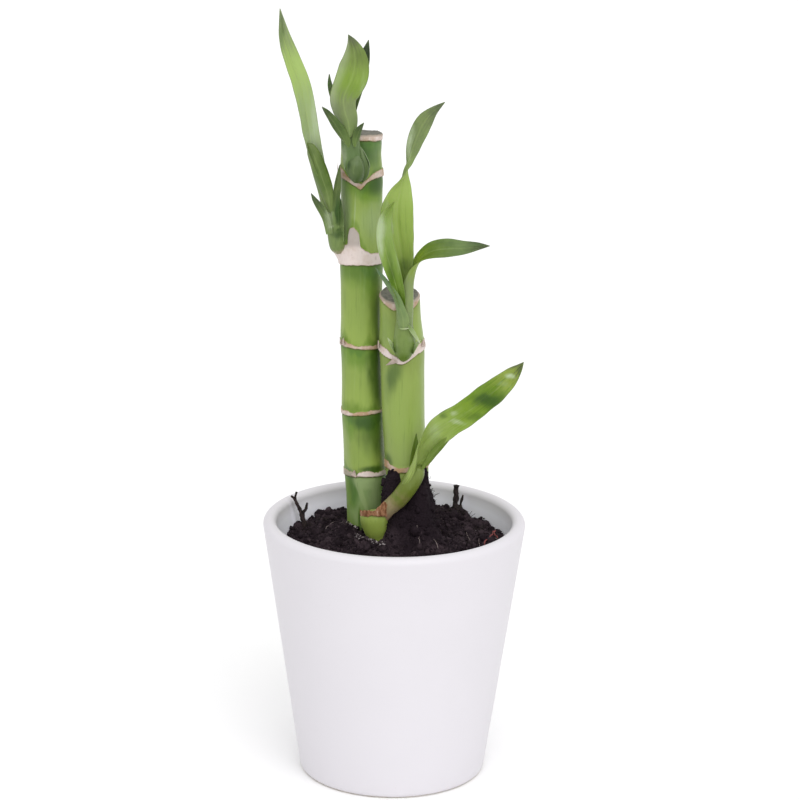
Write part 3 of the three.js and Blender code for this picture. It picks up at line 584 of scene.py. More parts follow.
class Shape:
    """The parts of one piece: points, faces, and the values that its material reads."""

    def __init__(self, *part):
        self.points, self.faces, self.values, self.count = [], [], {}, 0
        if part:
            self.add(*part)

    def add(self, points, faces, values):
        self.faces += [tuple(self.count + k for k in face) for face in faces]
        self.points.append(np.asarray(points, float))
        for key, value in values.items():
            whole = np.broadcast_to(np.asarray(value, float), (len(points),))
            self.values.setdefault(key, []).append(whole)
        self.count += len(points)

    def piece(self, name, material, spots=None):
        """An object of these points, which are in millimetres, with soft spots where given."""
        points = np.concatenate(self.points)
        values = {key: np.concatenate(parts) for key, parts in self.values.items()}
        if spots is not None:
            values["shade"] = spot_values(points, spots)
        mesh = bpy.data.meshes.new(name)
        mesh.from_pydata((points * MM).tolist(), [], self.faces)
        build = bmesh.new()
        build.from_mesh(mesh)
        bmesh.ops.recalc_face_normals(build, faces=build.faces)
        build.to_mesh(mesh)
        build.free()
        for key, value in values.items():
            layer = mesh.attributes.new(key, "FLOAT", "POINT")
            layer.data.foreach_set("value", value.astype(np.float32))
        mesh.shade_smooth()
        mesh.materials.append(material)
        piece = bpy.data.objects.new(name, mesh)
        bpy.context.scene.collection.objects.link(piece)
        return piece


def spot_values(points, spots):
    """Sum of soft spots [x, z, reach in x, reach in z, amount] as seen from the front."""
    total = np.zeros(len(points))
    waver = 0.18 * rough_noise(points, 3.0, SEED + 80)
    for x, z, wide, tall, amount in spots:
        away = np.hypot((points[:, 0] - x) / wide, (points[:, 2] - z) / tall)
        total += amount * (1 - smoothstep(away + waver, 0.05, 1.35))
    return total


def blade(stations, steps=10, segments=20, thickness=0.5, keel=0.0, fold=0.0, wave=0.0, seed=0):
    """A leaf through stations [x, y, z, width, curl, turn], as a closed thin shell. fold is the
    depth of a groove along its rib, and keel how far its two halves rise from the rib."""
    rows = smoothed(stations, steps)
    line, width = rows[:, :3], np.maximum(rows[:, 3:4], 0.12)
    wrap, turn = np.radians(rows[:, 4:5]), np.radians(rows[:, 5:])
    along = directions(line)
    front = np.array([0.0, -1.0, 0.0])
    normal = front - along * (along @ front)[:, None]
    normal /= np.linalg.norm(normal, axis=1, keepdims=True)
    normal = normal * np.cos(turn) + np.cross(along, normal) * np.sin(turn)
    across = np.cross(along, normal)
    length = np.append(0, np.cumsum(np.linalg.norm(np.diff(line, axis=0), axis=1)))[:, None]
    side = np.linspace(-1, 1, segments + 1)
    loop = np.concatenate([side, side[::-1]])
    upper = np.repeat([1.0, 0.0], segments + 1)
    half = 0.5 * thickness * (1 - 0.7 * np.abs(loop) ** 3)
    lift = np.where(upper > 0, half, -half)
    lift += keel * np.abs(loop) - fold * np.exp(-((loop / 0.12) ** 2))
    ripple = np.sin(length * 0.42 + seed) + 0.5 * np.sin(length * 0.93 + 2 * seed)
    lift = (lift + wave * np.sign(loop) * loop**2 * ripple) * np.minimum(1, width / 3)
    radius, angle = width / wrap, 0.5 * loop * wrap
    sideways = (radius - lift) * np.sin(angle)
    upwards = radius - (radius - lift) * np.cos(angle)
    points = line[:, None] + across[:, None] * sideways[..., None]
    points += normal[:, None] * upwards[..., None]
    start, end = points[0].mean(0) - along[0] * 0.1, points[-1].mean(0) + along[-1] * 0.1
    values = {
        "along": np.append(np.repeat(length / length[-1], len(loop)), [0, 1]),
        "across": np.append(np.tile(loop, len(rows)), [0, 0]),
        "upper": np.append(np.tile(upper, len(rows)), [0, 0]),
    }
    shell = np.concatenate([points.reshape(-1, 3), [start, end]])
    return shell, capped_faces(len(rows), len(loop)), values


def tube(stations, steps=8, sides=32, ridges=0.0, grain=0.0, seed=0):
    """A round stem or twig through stations [x, y, z, radius], closed at both ends."""
    rows = smoothed(stations, steps)
    centre, radius = rows[:, :3], rows[:, 3:]
    along = directions(centre)
    across = np.cross([0.0, 1.0, 0.0], along)
    across /= np.linalg.norm(across, axis=1, keepdims=True)
    back = np.cross(along, across)
    angle = np.linspace(0, 2 * np.pi, sides, endpoint=False)
    out = across[:, None] * np.cos(angle)[:, None] + back[:, None] * np.sin(angle)[:, None]
    reach = radius + ridges * np.cos(9 * angle) * np.minimum(1, radius / 2)
    points = centre[:, None] + out * reach[..., None]
    if grain:
        noise = rough_noise(points.reshape(-1, 3), 1.4, seed).reshape(reach.shape)
        points += out * (grain * noise * radius)[..., None]
    start = centre[0] - along[0] * 0.4 * radius[0]
    end = centre[-1] + along[-1] * 0.4 * radius[-1]
    share = np.append(np.repeat(np.linspace(0, 1, len(rows)), sides), [0, 1])
    shell = np.concatenate([points.reshape(-1, 3), [start, end]])
    return shell, capped_faces(len(rows), sides), {"along": share}


# Canes


def cane_axis(cane, z):
    """Centre x, centre y and radius of a cane at heights z."""
    fine = smoothed(cane["axis"], 8)
    return [np.interp(z, fine[:, 2], fine[:, n]) for n in (0, 1, 3)]


def edge_line(line, angle):
    """Height of an edge of a node's ring at angles in radians, from its points [angle, z]."""
    turns, heights = np.array(line, float).T
    order = np.argsort(turns)
    return np.interp(np.degrees(angle), turns[order], heights[order], period=360)


def mark_share(mark, angle, z):
    """How much of a mark covers each point, from 0 to 1, with a wavering soft edge."""
    middle, height, wide, tall, lean = mark[:5]
    waver = 0.15 * rough_noise(ring_points(angle, CANE_RADIUS, z * 0.45), 2.6, SEED + 70)
    away = np.degrees(angle) - middle - lean * (z - height)
    away = ((away + 180) % 360 - 180) / wide
    return 1 - smoothstep(np.hypot((z - height) / tall, away) + waver, 0.1, 1.35)


def cane_skin(cane, angle, z):
    """How far the skin stands out, and the values that its material reads."""
    circle = ring_points(angle, CANE_RADIUS, 0)
    out, pale, under, grey, shade, cool = np.zeros((6, len(z)))
    scar = np.full_like(z, -2.0)
    below = np.full_like(z, cane["axis"][0][2])
    above = np.full_like(z, cane["cut"]["z"] + 4)
    for k, ring in enumerate(cane["rings"]):
        low = edge_line(ring["low"], angle) + 0.1 * rough_noise(circle, 1.6, SEED + k)
        high = edge_line(ring["high"], angle) + 0.3 * rough_noise(circle, 1.3, SEED + 10 + k)
        high = np.maximum(high, low + 0.5)
        band = smoothstep(z - low, -0.12, 0.2) * (1 - smoothstep(z - high, -0.3, 0.3))
        out += ring["raise"] * band * (0.6 + 0.4 * np.exp(-np.abs(z - low) / 0.8))
        # Weight below each ring's lip: it sinks a small groove there and paints shade below the lip.
        under = np.maximum(under, np.where(z < low, np.exp(-(low - z) / 0.45), 0))
        closer = np.minimum(z - low, high - z)
        pale = np.where(closer > scar, ring["pale"], pale)
        scar = np.maximum(scar, closer)
        grey = np.maximum(grey, smoothstep(z - low, 5, 8) * band)
        below = np.where(z > low, np.maximum(below, high), below)
        above = np.where(z < high, np.minimum(above, low), above)
    span = np.clip((above - z) / np.maximum(above - below, 1), 0, 1)
    from_end = np.maximum(np.minimum(z - below, above - z), 0)
    out -= CANE_WAIST * (1 - np.exp(-((from_end / 5) ** 2))) + 0.16 * under
    for mark in cane["marks"]:
        share = mark_share(mark, angle, z)
        darker, bluer, deep = mark[5:]
        shade += darker * share
        cool += bluer * share
        out -= deep * share
    out += 0.07 * rough_noise(ring_points(angle, CANE_RADIUS, z * 0.25), 3.0, SEED + 3)
    values = dict(scar=scar, pale=pale, span=span, shade=shade, cool=cool, under=under, grey=grey)
    return out, values


def cane_point(cane, angle, z, away):
    """A point at a distance from the skin of a cane, at an angle in degrees."""
    turn = np.array([math.radians(angle)])
    out, _ = cane_skin(cane, turn, np.array([float(z)]))
    x, y, radius = cane_axis(cane, z)
    reach = radius + out[0] + away
    return [x + reach * math.cos(turn[0]), y + reach * math.sin(turn[0]), z]


def cane_shape(cane):
    """The skin of a cane from its buried end to its cut top, with the cut face."""
    slope, top = cane["cut"]["slope"], cane["cut"]["z"]
    start_x, start_y, bottom, _ = cane["axis"][0]
    buried = np.arange(bottom, FINE_FROM, 3)
    heights = np.append(buried, np.arange(FINE_FROM, top - CUT_ROUND, CANE_ROW))
    angle = np.linspace(-np.pi, np.pi, CANE_SIDES, endpoint=False)
    rings, values = [], []
    for z, tilt in zip(heights, smoothstep(heights, top - 12, top - CUT_ROUND)):
        x, y, radius = cane_axis(cane, z)
        out, skin = cane_skin(cane, angle, np.full_like(angle, z))
        ring = ring_points(angle, radius + out, z)
        ring[:, 2] += tilt * slope * ring[:, 1]
        rings.append(ring + [x, y, 0])
        values.append(skin)
    x, y, radius = cane_axis(cane, top)
    for share in np.append([0.985, 0.95, 0.9], np.linspace(0.84, 0.04, 22)):
        ring = ring_points(angle, radius * share, top)
        grain = 0.18 * (share < 0.96) * rough_noise(ring, 1.6, SEED + 9)
        rise = 0.35 * smoothstep(share, 1.0, 0.9) - 0.5 * smoothstep(share, 0.85, 0.2)
        level = rise - CUT_ROUND * smoothstep(share, 0.9, 1.0)
        ring[:, 2] += level + grain + slope * ring[:, 1]
        rings.append(ring + [x, y, 0])
        values.append({"scar": 1, "pale": 0.8, "cut": 1.02 - share})
    flat = {}
    for name in ("scar", "pale", "span", "shade", "cool", "under", "grey", "cut"):
        rows = [np.broadcast_to(row.get(name, 0), CANE_SIDES) for row in values]
        flat[name] = np.append(np.concatenate(rows), [0, 0])
    flat["cut"][-1] = 1
    caps = [[start_x, start_y, bottom - 1], [x, y, top - 0.2]]
    return Shape(np.concatenate([*rings, caps]), capped_faces(len(rings), CANE_SIDES), flat)


def scale_stations(cane, rows):
    """Blade stations for a papery scale that hugs a cane with its inner face."""
    stations = []
    for angle, z, away, width in rows:
        curl = max(math.degrees(width / 8), 12)
        stations.append([*cane_point(cane, angle, z, away), width, curl, angle + 270])
    return stations


# Soil


def soil_height(x, y):
    """Height of the soil's surface, with its heaps and its crumbly lumps."""
    z = np.full(np.shape(x), float(SOIL_LEVEL))
    for heap_x, heap_y, reach, height, crown in HEAPS:
        away = np.hypot(x - heap_x, y - heap_y) / reach
        z = z + height * (1 - smoothstep(away, crown, 1))
    spots = np.stack([np.ravel(x), np.ravel(y), np.zeros(np.size(x))], 1)
    lumps = 1.1 * rough_noise(spots, 4.5, SEED + 20, 4)
    clods = 0.5 * np.abs(rough_noise(spots, 1.7, SEED + 30))
    return z + np.reshape(lumps + clods, np.shape(x))


def pot_outer_radius(z):
    rise = (RIM_RADIUS - FOOT_RADIUS) / (POT_HEIGHT - POT_WALL / 2)
    return FOOT_RADIUS + rise * z


def pot_inner_radius(z):
    return pot_outer_radius(z) - POT_WALL


def painted_shade_by_height(z):
    """How much darker the soil is painted towards the top of its heaps: painted shade on the high mound
    between and round the canes.
    """
    return 0.6 * smoothstep(z, 85, 92)


def soil_shape():
    """A closed bed of soil: a fine lumpy top, a side against the wall, and a flat bottom."""
    count = SOIL_CELLS + 1
    steps = np.linspace(-1, 1, count)
    u, v = np.meshgrid(steps, steps)
    disc_x, disc_y = u * np.sqrt(1 - v * v / 2), v * np.sqrt(1 - u * u / 2)
    rim = pot_inner_radius(SOIL_LEVEL) - 0.15
    x, y = disc_x * rim, disc_y * rim
    z = soil_height(x, y) - 0.6 * smoothstep(np.hypot(disc_x, disc_y), 0.93, 1.0)
    points = np.stack([x, y, z], -1).reshape(-1, 3)
    index = np.arange(count * count).reshape(count, count)
    corners = [index[:-1, :-1], index[:-1, 1:], index[1:, 1:], index[1:, :-1]]
    quads = np.stack(corners, -1).reshape(-1, 4)
    edge = np.concatenate([index[0], index[1:, -1], index[-1, -2::-1], index[-2:0:-1, 0]])
    inset = (pot_inner_radius(SOIL_FLOOR + INNER_ROUND) - INNER_ROUND) / rim
    low = points[edge] * [inset, inset, 0] + [0, 0, SOIL_FLOOR]
    below = len(points) + np.arange(len(edge))
    after = np.roll(below, -1)
    sides = np.stack([edge, below, after, np.roll(edge, -1)], 1)
    bottom = np.stack([below, np.full_like(below, below[-1] + 1), after], 1)
    # Tone differs at random, and is darker by painted shade high on the mound.
    tone = 0.5 + 0.5 * rough_noise(points, 5.0, SEED + 40) - painted_shade_by_height(points[:, 2])
    tone = np.append(tone, np.full(len(edge) + 1, 0.5))
    faces = quads.tolist() + sides.tolist() + bottom.tolist()
    return Shape(np.concatenate([points, low, [[0, 0, SOIL_FLOOR]]]), faces, {"tone": tone})


def scatter(draw, count, reach):
    """Random places over the soil, as arrays of x, y and the soil's height."""
    away = reach * np.sqrt(draw.random(count))
    angle = draw.uniform(0, 2 * np.pi, count)
    x, y = away * np.cos(angle), away * np.sin(angle)
    return x, y, soil_height(x, y)


def ball_points(subdivisions):
    """Points and faces of a small ball made of triangles."""
    build = bmesh.new()
    bmesh.ops.create_icosphere(build, subdivisions=subdivisions, radius=1)
    points = np.array([v.co[:] for v in build.verts])
    faces = [tuple(v.index for v in face.verts) for face in build.faces]
    build.free()
    return points, faces


def crumbs_shape(draw, x, y, z, size, subdivisions, dents=0.5):
    """One irregular crumb at each place, turned, squashed and dented at random."""
    ball, faces = ball_points(subdivisions)
    count, corners = len(x), len(ball)
    apart = ball + 10.0 * np.arange(count)[:, None, None]
    dented = value_noise(apart.reshape(-1, 3), 0.9, SEED + 50).reshape(count, corners, 1)
    squash = draw.uniform(0.55, 1.25, (count, 1, 3)) * size[:, None, None]
    angles = draw.uniform(0, 2 * math.pi, (count, 3))
    turns = np.array([Euler(angle).to_matrix() for angle in angles])
    bodies = ball * (1 + dents * dented) * squash @ turns
    bodies += np.stack([x, y, z + 0.2 * size], 1)[:, None, :]
    every = np.array(faces) + corners * np.arange(count)[:, None, None]
    # Tone differs at random, and is darker by painted shade high on the mound.
    tones = np.repeat(draw.random(count) - painted_shade_by_height(z), corners)
    return Shape(bodies.reshape(-1, 3), every.reshape(-1, 3).tolist(), {"tone": tones})


def coarse_crumbs():
    draw = np.random.default_rng(SEED)
    x, y, z = scatter(draw, COARSE_CRUMBS, pot_inner_radius(SOIL_LEVEL) - 1)
    size = np.minimum(0.25 + draw.exponential(0.3, COARSE_CRUMBS), 1.5)
    return crumbs_shape(draw, x, y, z, size, 2)


def fine_crumbs():
    draw = np.random.default_rng(SEED + 4)
    x, y, z = scatter(draw, FINE_CRUMBS, pot_inner_radius(SOIL_LEVEL) - 0.5)
    return crumbs_shape(draw, x, y, z, draw.uniform(0.14, 0.42, FINE_CRUMBS), 1)


def pale_crumbs():
    """Pale crumbs along a line round the foot of the tall cane, and a few elsewhere."""
    draw = np.random.default_rng(SEED + 1)
    line = np.repeat(smoothed(PALE_LINE, 6), 3, axis=0)
    line = line + draw.normal(0, 0.5, line.shape)
    x, y, _ = scatter(draw, LOOSE_CRUMBS, 36)
    x, y = np.append(line[:, 0], x), np.append(line[:, 1], y)
    near, loose = draw.uniform(0.15, 0.6, len(line)), draw.uniform(0.12, 0.26, LOOSE_CRUMBS)
    return crumbs_shape(draw, x, y, soil_height(x, y) + 0.3, np.append(near, loose), 1, 0.9)


def root_stations(path, radius, seed):
    """Stations of a fine root that follows the soil's surface."""
    draw = random.Random(seed)
    stations = []
    for x, y in smoothed(path, 3):
        z = float(soil_height(x, y)) + 0.45 + draw.uniform(-0.15, 0.35)
        stations.append([x + draw.uniform(-0.2, 0.2), y + draw.uniform(-0.2, 0.2), z, radius])
    stations[0][3] = stations[-1][3] = 0.4 * radius
    return stations


def roots_shape():
    shape = Shape()
    for k, path in enumerate(ROOTS + RED_ROOTS):
        red = path in RED_ROOTS
        stations = root_stations(path, 0.26 if red else 0.12, k)
        points, faces, values = tube(stations, steps=4, sides=8)
        shape.add(points, faces, {**values, "red": float(red)})
    return shape


def fibres_shape():
    """Short dark fibres of peat that stick out of the soil at all angles."""
    draw = random.Random(SEED + 2)
    shape = Shape()
    for k in range(FIBRES):
        away, angle = 37 * math.sqrt(draw.random()), draw.uniform(0, 2 * math.pi)
        x, y = away * math.cos(angle), away * math.sin(angle)
        if k % 2:
            tuft = draw.choice(TUFTS)
            x, y = tuft[0] + 0.05 * x, tuft[1] + 0.05 * y
        z = float(soil_height(x, y)) + 0.25
        turn, rise = draw.uniform(0, 2 * math.pi), draw.uniform(0, 0.9)
        length = draw.uniform(1.2, 3.6)
        stations = []
        for share in (0, 1 / 3, 2 / 3, 1):
            far = (share - 0.3) * length
            bent = turn + draw.uniform(-0.35, 0.35)
            height = z + rise * max(far, 0) + draw.uniform(-0.1, 0.1)
            stations.append([x + far * math.cos(bent), y + far * math.sin(bent), height, 0.07])
        shape.add(*tube(stations, steps=2, sides=5))
    return shape


# Pot


def pot_profile():
    """Points [radius, z] of half the pot's outline, from its foot over the lip to its floor."""
    half = POT_WALL / 2
    lip, lip_radius = POT_HEIGHT - half, RIM_RADIUS - half
    bend, foot = POT_FLOOR + INNER_ROUND, FOOT_RADIUS - FOOT_ROUND
    inner_foot = pot_inner_radius(bend) - INNER_ROUND
    profile = [[radius, RECESS_DEPTH] for radius in (0.01, 8, 16, RECESS_RADIUS - 0.3)]
    profile += [[RECESS_RADIUS + RECESS_DEPTH, 0], [foot - 2.5, 0], [foot, 0]]
    for t in np.linspace(0.1, 1, 8):
        curve = (1 - t) ** 2 * foot + 2 * t * (1 - t) * FOOT_RADIUS
        profile.append([curve + t * t * pot_outer_radius(2), FOOT_ROUND * t * t])
    profile += [[pot_outer_radius(z), z] for z in np.linspace(3.5, lip - 0.5, 60)]
    for turn in np.linspace(0, math.pi, 25):
        profile.append([lip_radius + half * math.cos(turn), lip + half * math.sin(turn)])
    profile += [[pot_inner_radius(z), z] for z in np.linspace(lip - 0.5, bend, 30)]
    for turn in np.linspace(0.1, 1, 6) * math.pi / 2:
        radius = inner_foot + INNER_ROUND * math.cos(turn)
        profile.append([radius, POT_FLOOR + INNER_ROUND * (1 - math.sin(turn))])
    return profile + [[inner_foot / 2, POT_FLOOR], [0.01, POT_FLOOR]]


def pot_shape():
    """A conical pot with a rounded lip, a slightly uneven glazed wall and a flat foot ring."""
    half = POT_WALL / 2
    angle = np.linspace(0, 2 * np.pi, POT_SIDES, endpoint=False)
    rings, inside = [], []
    for radius, z in pot_profile():
        inner = z > POT_FLOOR - 1 and radius < pot_outer_radius(z) - half
        # Share of painted light: the inner wall below the lip is painted lighter and bluer than the same
        # glaze outside.
        inside.append(np.full_like(angle, inner * smoothstep(POT_HEIGHT - half - z, -1, 4)))
        ring = ring_points(angle, radius, z)
        if radius > 20 and z > 2.5:
            uneven = 1 + 0.0012 * value_noise(ring * [1, 1, 1.6], 22, SEED + 60)
            ring[:, :2] *= uneven[:, None]
        rings.append(ring)
    points = np.concatenate([*rings, [[0, 0, RECESS_DEPTH], [0, 0, POT_FLOOR]]])
    values = {"high": points[:, 2], "inside": np.append(np.concatenate(inside), [0, 1])}
    return Shape(points, capped_faces(len(rings), POT_SIDES), values)


# Materials


class Look:
    """A node material that is built one node at a time."""

    def __init__(self, name, roughness, specular):
        self.material = bpy.data.materials.new(name)
        self.material.use_nodes = True
        self.tree = self.material.node_tree
        self.shader = self.tree.nodes["Principled BSDF"]
        self.shader.inputs["Roughness"].default_value = roughness
        self.shader.inputs["Specular IOR Level"].default_value = specular

    def feed(self, socket, value):
        if isinstance(value, bpy.types.NodeSocket):
            self.tree.links.new(value, socket)
        else:
            socket.default_value = value

    def node(self, kind, inputs, output=0, **settings):
        """One output of a new node, whose inputs are given by name or by place."""
        node = self.tree.nodes.new("ShaderNode" + kind)
        for key, value in settings.items():
            setattr(node, key, value)
        for key, value in inputs.items():
            self.feed(node.inputs[key], value)
        return node.outputs[output]

    def value(self, name):
        """A named value that the mesh carries."""
        return self.node("Attribute", {}, "Fac", attribute_name=name)

    def math(self, operation, first, second=0.0):
        return self.node("Math", {0: first, 1: second}, operation=operation)

    def steps(self, value, low, high, start=0.0, end=1.0):
        """Smooth change from start to end as a value goes from low to high."""
        inputs = dict(enumerate((value, low, high, start, end)))
        return self.node("MapRange", inputs, interpolation_type="SMOOTHSTEP")

    def wavered(self, value, noise, amount):
        """A value that a noise moves up and down by an amount."""
        return self.math("ADD", value, self.steps(noise, 0.3, 0.7, -amount, amount))

    def mix(self, share, first, second):
        return self.node("Mix", {0: share, 6: first, 7: second}, 2, data_type="RGBA")

    def tint(self, colour, value, low, high, amount, *display):
        """Lets a display colour in, up to an amount, as a value goes from low to high."""
        return self.mix(self.steps(value, low, high, 0, amount), colour, shown(*display))

    def ramp(self, value, stops):
        """Colours along a value, from stops [place, red, green, blue]."""
        node = self.tree.nodes.new("ShaderNodeValToRGB")
        node.color_ramp.interpolation = "EASE"
        marks = node.color_ramp.elements
        while len(marks) < len(stops):
            marks.new(0.5)
        for mark, (place, *display) in zip(marks, stops):
            mark.position = place
            mark.color = shown(*display)
        self.feed(node.inputs[0], value)
        return node.outputs[0]

    def place(self, stretch=(1, 1, 1)):
        """Coordinates of the object in millimetres, stretched along its axes."""
        where = self.node("TexCoord", {}, "Object")
        scale = [s / MM for s in stretch]
        return self.node("VectorMath", {0: where, 1: scale}, operation="MULTIPLY")

    def on_blade(self, across, along, face=0):
        """Coordinates on a blade, which is this large across and along, and that face of it."""
        wide = self.math("MULTIPLY", self.value("across"), across)
        long = self.math("MULTIPLY", self.value("along"), along)
        return self.node("CombineXYZ", {0: wide, 1: long, 2: face})

    def noise(self, where, scale, detail=3.0, rough=0.55):
        inputs = {"Vector": where, "Scale": scale, "Detail": detail, "Roughness": rough}
        return self.node("TexNoise", inputs, "Fac")

    def cells(self, where, scale):
        return self.node("TexVoronoi", {"Vector": where, "Scale": scale}, "Distance")

    def bump(self, height, depth, after=None):
        """Relief of a height from 0 to 1, with its depth in millimetres."""
        inputs = {"Strength": 1.0, "Distance": depth * MM, "Height": height}
        if after:
            inputs["Normal"] = after
        return self.node("Bump", inputs)

    def finish(self, colour, roughness=None, normal=None):
        for key, value in (("Base Color", colour), ("Roughness", roughness), ("Normal", normal)):
            if value is not None:
                self.feed(self.shader.inputs[key], value)
        return self.material


def glaze_look():
    """Cool white satin glaze with faint speckle, and a bare foot; below the lip the pot's inner wall is
    painted lighter and bluer, as painted light against the shade in the pot.
    """
    look = Look("glaze", 0.4, 0.35)
    where = look.place()
    cloud = look.noise(where, 0.03, 2.0)
    colour = look.mix(cloud, rgb(214, 211, 216), rgb(218, 215, 220))
    # Painted light: the same glaze, lighter and bluer on the pot's inner wall.
    colour = look.mix(look.value("inside"), colour, rgb(246, 245, 254))
    speck = look.steps(look.cells(where, 0.16), 0.05, 0.03)
    colour = look.mix(look.math("MULTIPLY", speck, 0.2), colour, rgb(198, 190, 186))
    bare = look.steps(look.math("ADD", look.value("high"), look.noise(where, 0.5)), 1.3, 0.7)
    colour = look.mix(bare, colour, rgb(208, 199, 189))
    roughness = look.math("ADD", look.steps(cloud, 0.3, 0.7, 0.38, 0.46), look.math("MULTIPLY", bare, 0.4))
    ripples = look.bump(look.noise(look.place((1, 1, 2.2)), 0.09, 2.0), 0.1)
    normal = look.bump(look.noise(where, 1.6, 2.0), 0.008, after=ripples)
    return look.finish(colour, roughness, normal)


def soil_look(name, dark, light, fleck):
    """Damp dark soil: crumbs differ in tone, darker by painted shade on the high mound, with a fine grain
    and pale flecks.
    """
    look = Look(name, 0.85, 0.08)
    where = look.place()
    tone = look.value("tone")
    grain = look.noise(where, 1.3, 5.0, 0.7)
    colour = look.mix(look.steps(tone, 0.2, 1.0), dark, light)
    colour = look.mix(look.steps(grain, 0.64, 0.8, 0, 0.6), colour, fleck)
    normal = look.bump(grain, 0.5, after=look.bump(look.cells(where, 1.1), 0.35))
    return look.finish(colour, look.steps(grain, 0.3, 0.7, 0.7, 0.95), normal)


def cane_look(name, greens, dark, light, cold):
    """Skin of a cane: green that changes from node to node, darker and paler marks (partly painted shade
    and painted light), painted shade below each ring's lip, dry rings, and a dried cut face.
    """
    look = Look(name, 0.4, 0.3)
    where = look.place()
    strands = look.noise(look.place((1, 1, 0.05)), 0.9, 4.0, 0.6)
    blotches = look.noise(look.place((1, 1, 0.35)), 0.14)
    ragged = look.noise(look.place((1, 1, 0.6)), 0.9, 4.0, 0.6)
    soft = look.noise(where, 0.22)
    cool = look.value("cool")
    colour = look.ramp(look.wavered(look.value("span"), blotches, 0.12), greens)
    colour = look.tint(colour, cool, 0.0, 1.0, 0.85, *cold)
    # The marks' shade is partly the skin's own patches and partly painted shade and painted light.
    shade = look.wavered(look.value("shade"), blotches, 0.1)
    colour = look.tint(colour, shade, 0.0, 1.0, 0.8, *dark)
    colour = look.tint(colour, shade, 0.0, -1.0, 0.8, *light)
    colour = look.tint(colour, strands, 0.56, 0.78, 0.22, *light)
    colour = look.tint(colour, strands, 0.44, 0.22, 0.3, *dark)
    scar = look.wavered(look.value("scar"), ragged, 0.12)
    band = look.steps(scar, -0.08, 0.08)
    pale = look.wavered(look.value("pale"), soft, 0.25)
    dry = look.mix(look.steps(pale, 0.1, 0.95), shown(178, 146, 112), shown(232, 218, 213))
    dry = look.tint(dry, ragged, 0.54, 0.74, 0.3, 160, 146, 134)
    dry = look.tint(dry, ragged, 0.42, 0.3, 0.5, 230, 220, 208)
    dry = look.tint(dry, cool, 0.3, 1.0, 0.75, 156, 154, 128)
    dry = look.tint(dry, look.value("grey"), 0.0, 1.0, 0.7, 170, 161, 153)
    dry = look.tint(dry, scar, 0.45, 0.05, 0.45, 178, 142, 108)
    # Painted shade below the overhanging lip of each ring.
    colour = look.tint(colour, look.value("under"), 0.1, 0.9, 0.75, 84, 84, 40)
    colour = look.mix(band, colour, dry)
    cut = look.value("cut")
    grain = look.noise(where, 0.9, 4.0, 0.7)
    face = look.mix(look.steps(grain, 0.35, 0.65), shown(112, 112, 104), shown(136, 134, 124))
    face = look.tint(face, cut, 0.1, 0.04, 1, 188, 172, 158)
    sawn = look.steps(cut, 0.0, 0.02)
    colour = look.mix(sawn, colour, face)
    dull = look.math("MAXIMUM", band, sawn)
    gloss = look.steps(strands, 0.3, 0.7, 0.36, 0.46)
    roughness = look.math("ADD", gloss, look.math("MULTIPLY", dull, 0.4))
    normal = look.bump(look.math("MULTIPLY", dull, soft), 0.3, after=look.bump(strands, 0.04))
    return look.finish(colour, roughness, normal)


def scale_look():
    """Dry papery scale: pinkish beige with fine lengthwise fibres."""
    look = Look("papery_scale", 0.75, 0.25)
    fibres = look.noise(look.on_blade(9, 1), 1.2, 4)
    colour = look.mix(look.steps(fibres, 0.35, 0.65), shown(176, 156, 144), shown(216, 200, 190))
    colour = look.tint(colour, look.noise(look.place(), 0.7), 0.52, 0.75, 0.7, 166, 130, 104)
    return look.finish(colour, None, look.bump(fibres, 0.15))


def leaf_look(name, upper, lower=None, flank=0.0, gloss=0.38, margin=(116, 128, 88), tip=0.5):
    """A leaf: colours along each face, fine parallel veins, a paler rib, a thin dry margin and tip,
    and soft spots that are partly painted shade, painted highlights and painted sheen.
    flank is how much paler the blade gets towards its left (-) or right (+) margin."""
    look = Look(name, gloss, 0.3)
    along, across, face = look.value("along"), look.value("across"), look.value("upper")
    streaks = look.noise(look.on_blade(6, 3, face), 1.4, 4.0, 0.6)
    blotches = look.noise(look.place((1, 1, 0.6)), 0.2)
    veins = look.noise(look.on_blade(40, 1.2), 1.0, 2.0)
    reach = look.wavered(along, streaks, 0.05)
    faces = look.ramp(reach, lower or upper), look.ramp(reach, upper)
    colour = look.mix(look.steps(face, 0.4, 0.6), *faces)
    colour = look.tint(colour, blotches, 0.4, 0.75, 0.2, 168, 188, 112)
    colour = look.tint(colour, streaks, 0.45, 0.25, 0.25, 60, 88, 30)
    colour = look.tint(colour, veins, 0.55, 0.8, 0.2, 176, 196, 130)
    size = look.math("ABSOLUTE", across)
    colour = look.tint(colour, size, 0.1, 0.0, 0.18, 172, 190, 120)
    if flank:
        side = math.copysign(1, flank)
        colour = look.tint(colour, across, 0.25 * side, 0.9 * side, abs(flank), 184, 194, 162)
    # Spots paint darker and paler patches: partly the leaf's own tone, partly painted shade, painted
    # highlights and painted sheen.
    shade = look.wavered(look.value("shade"), streaks, 0.1)
    colour = look.tint(colour, shade, 0.05, 1.0, 0.85, 60, 88, 30)
    colour = look.tint(colour, shade, -0.05, -1.0, 0.85, 196, 210, 176)
    colour = look.tint(colour, look.wavered(size, streaks, 0.02), 0.93, 0.985, 0.5, *margin)
    colour = look.tint(colour, look.wavered(along, streaks, 0.03), 0.92, 1.0, tip, 78, 82, 66)
    look.shader.inputs["Subsurface Weight"].default_value = 0.1
    look.shader.inputs["Subsurface Radius"].default_value = (0.6, 1.0, 0.3)
    look.shader.inputs["Subsurface Scale"].default_value = 1.2 * MM
    roughness = look.steps(streaks, 0.3, 0.7, gloss - 0.05, gloss + 0.08)
    return look.finish(colour, roughness, look.bump(veins, 0.05, after=look.bump(blotches, 0.2)))


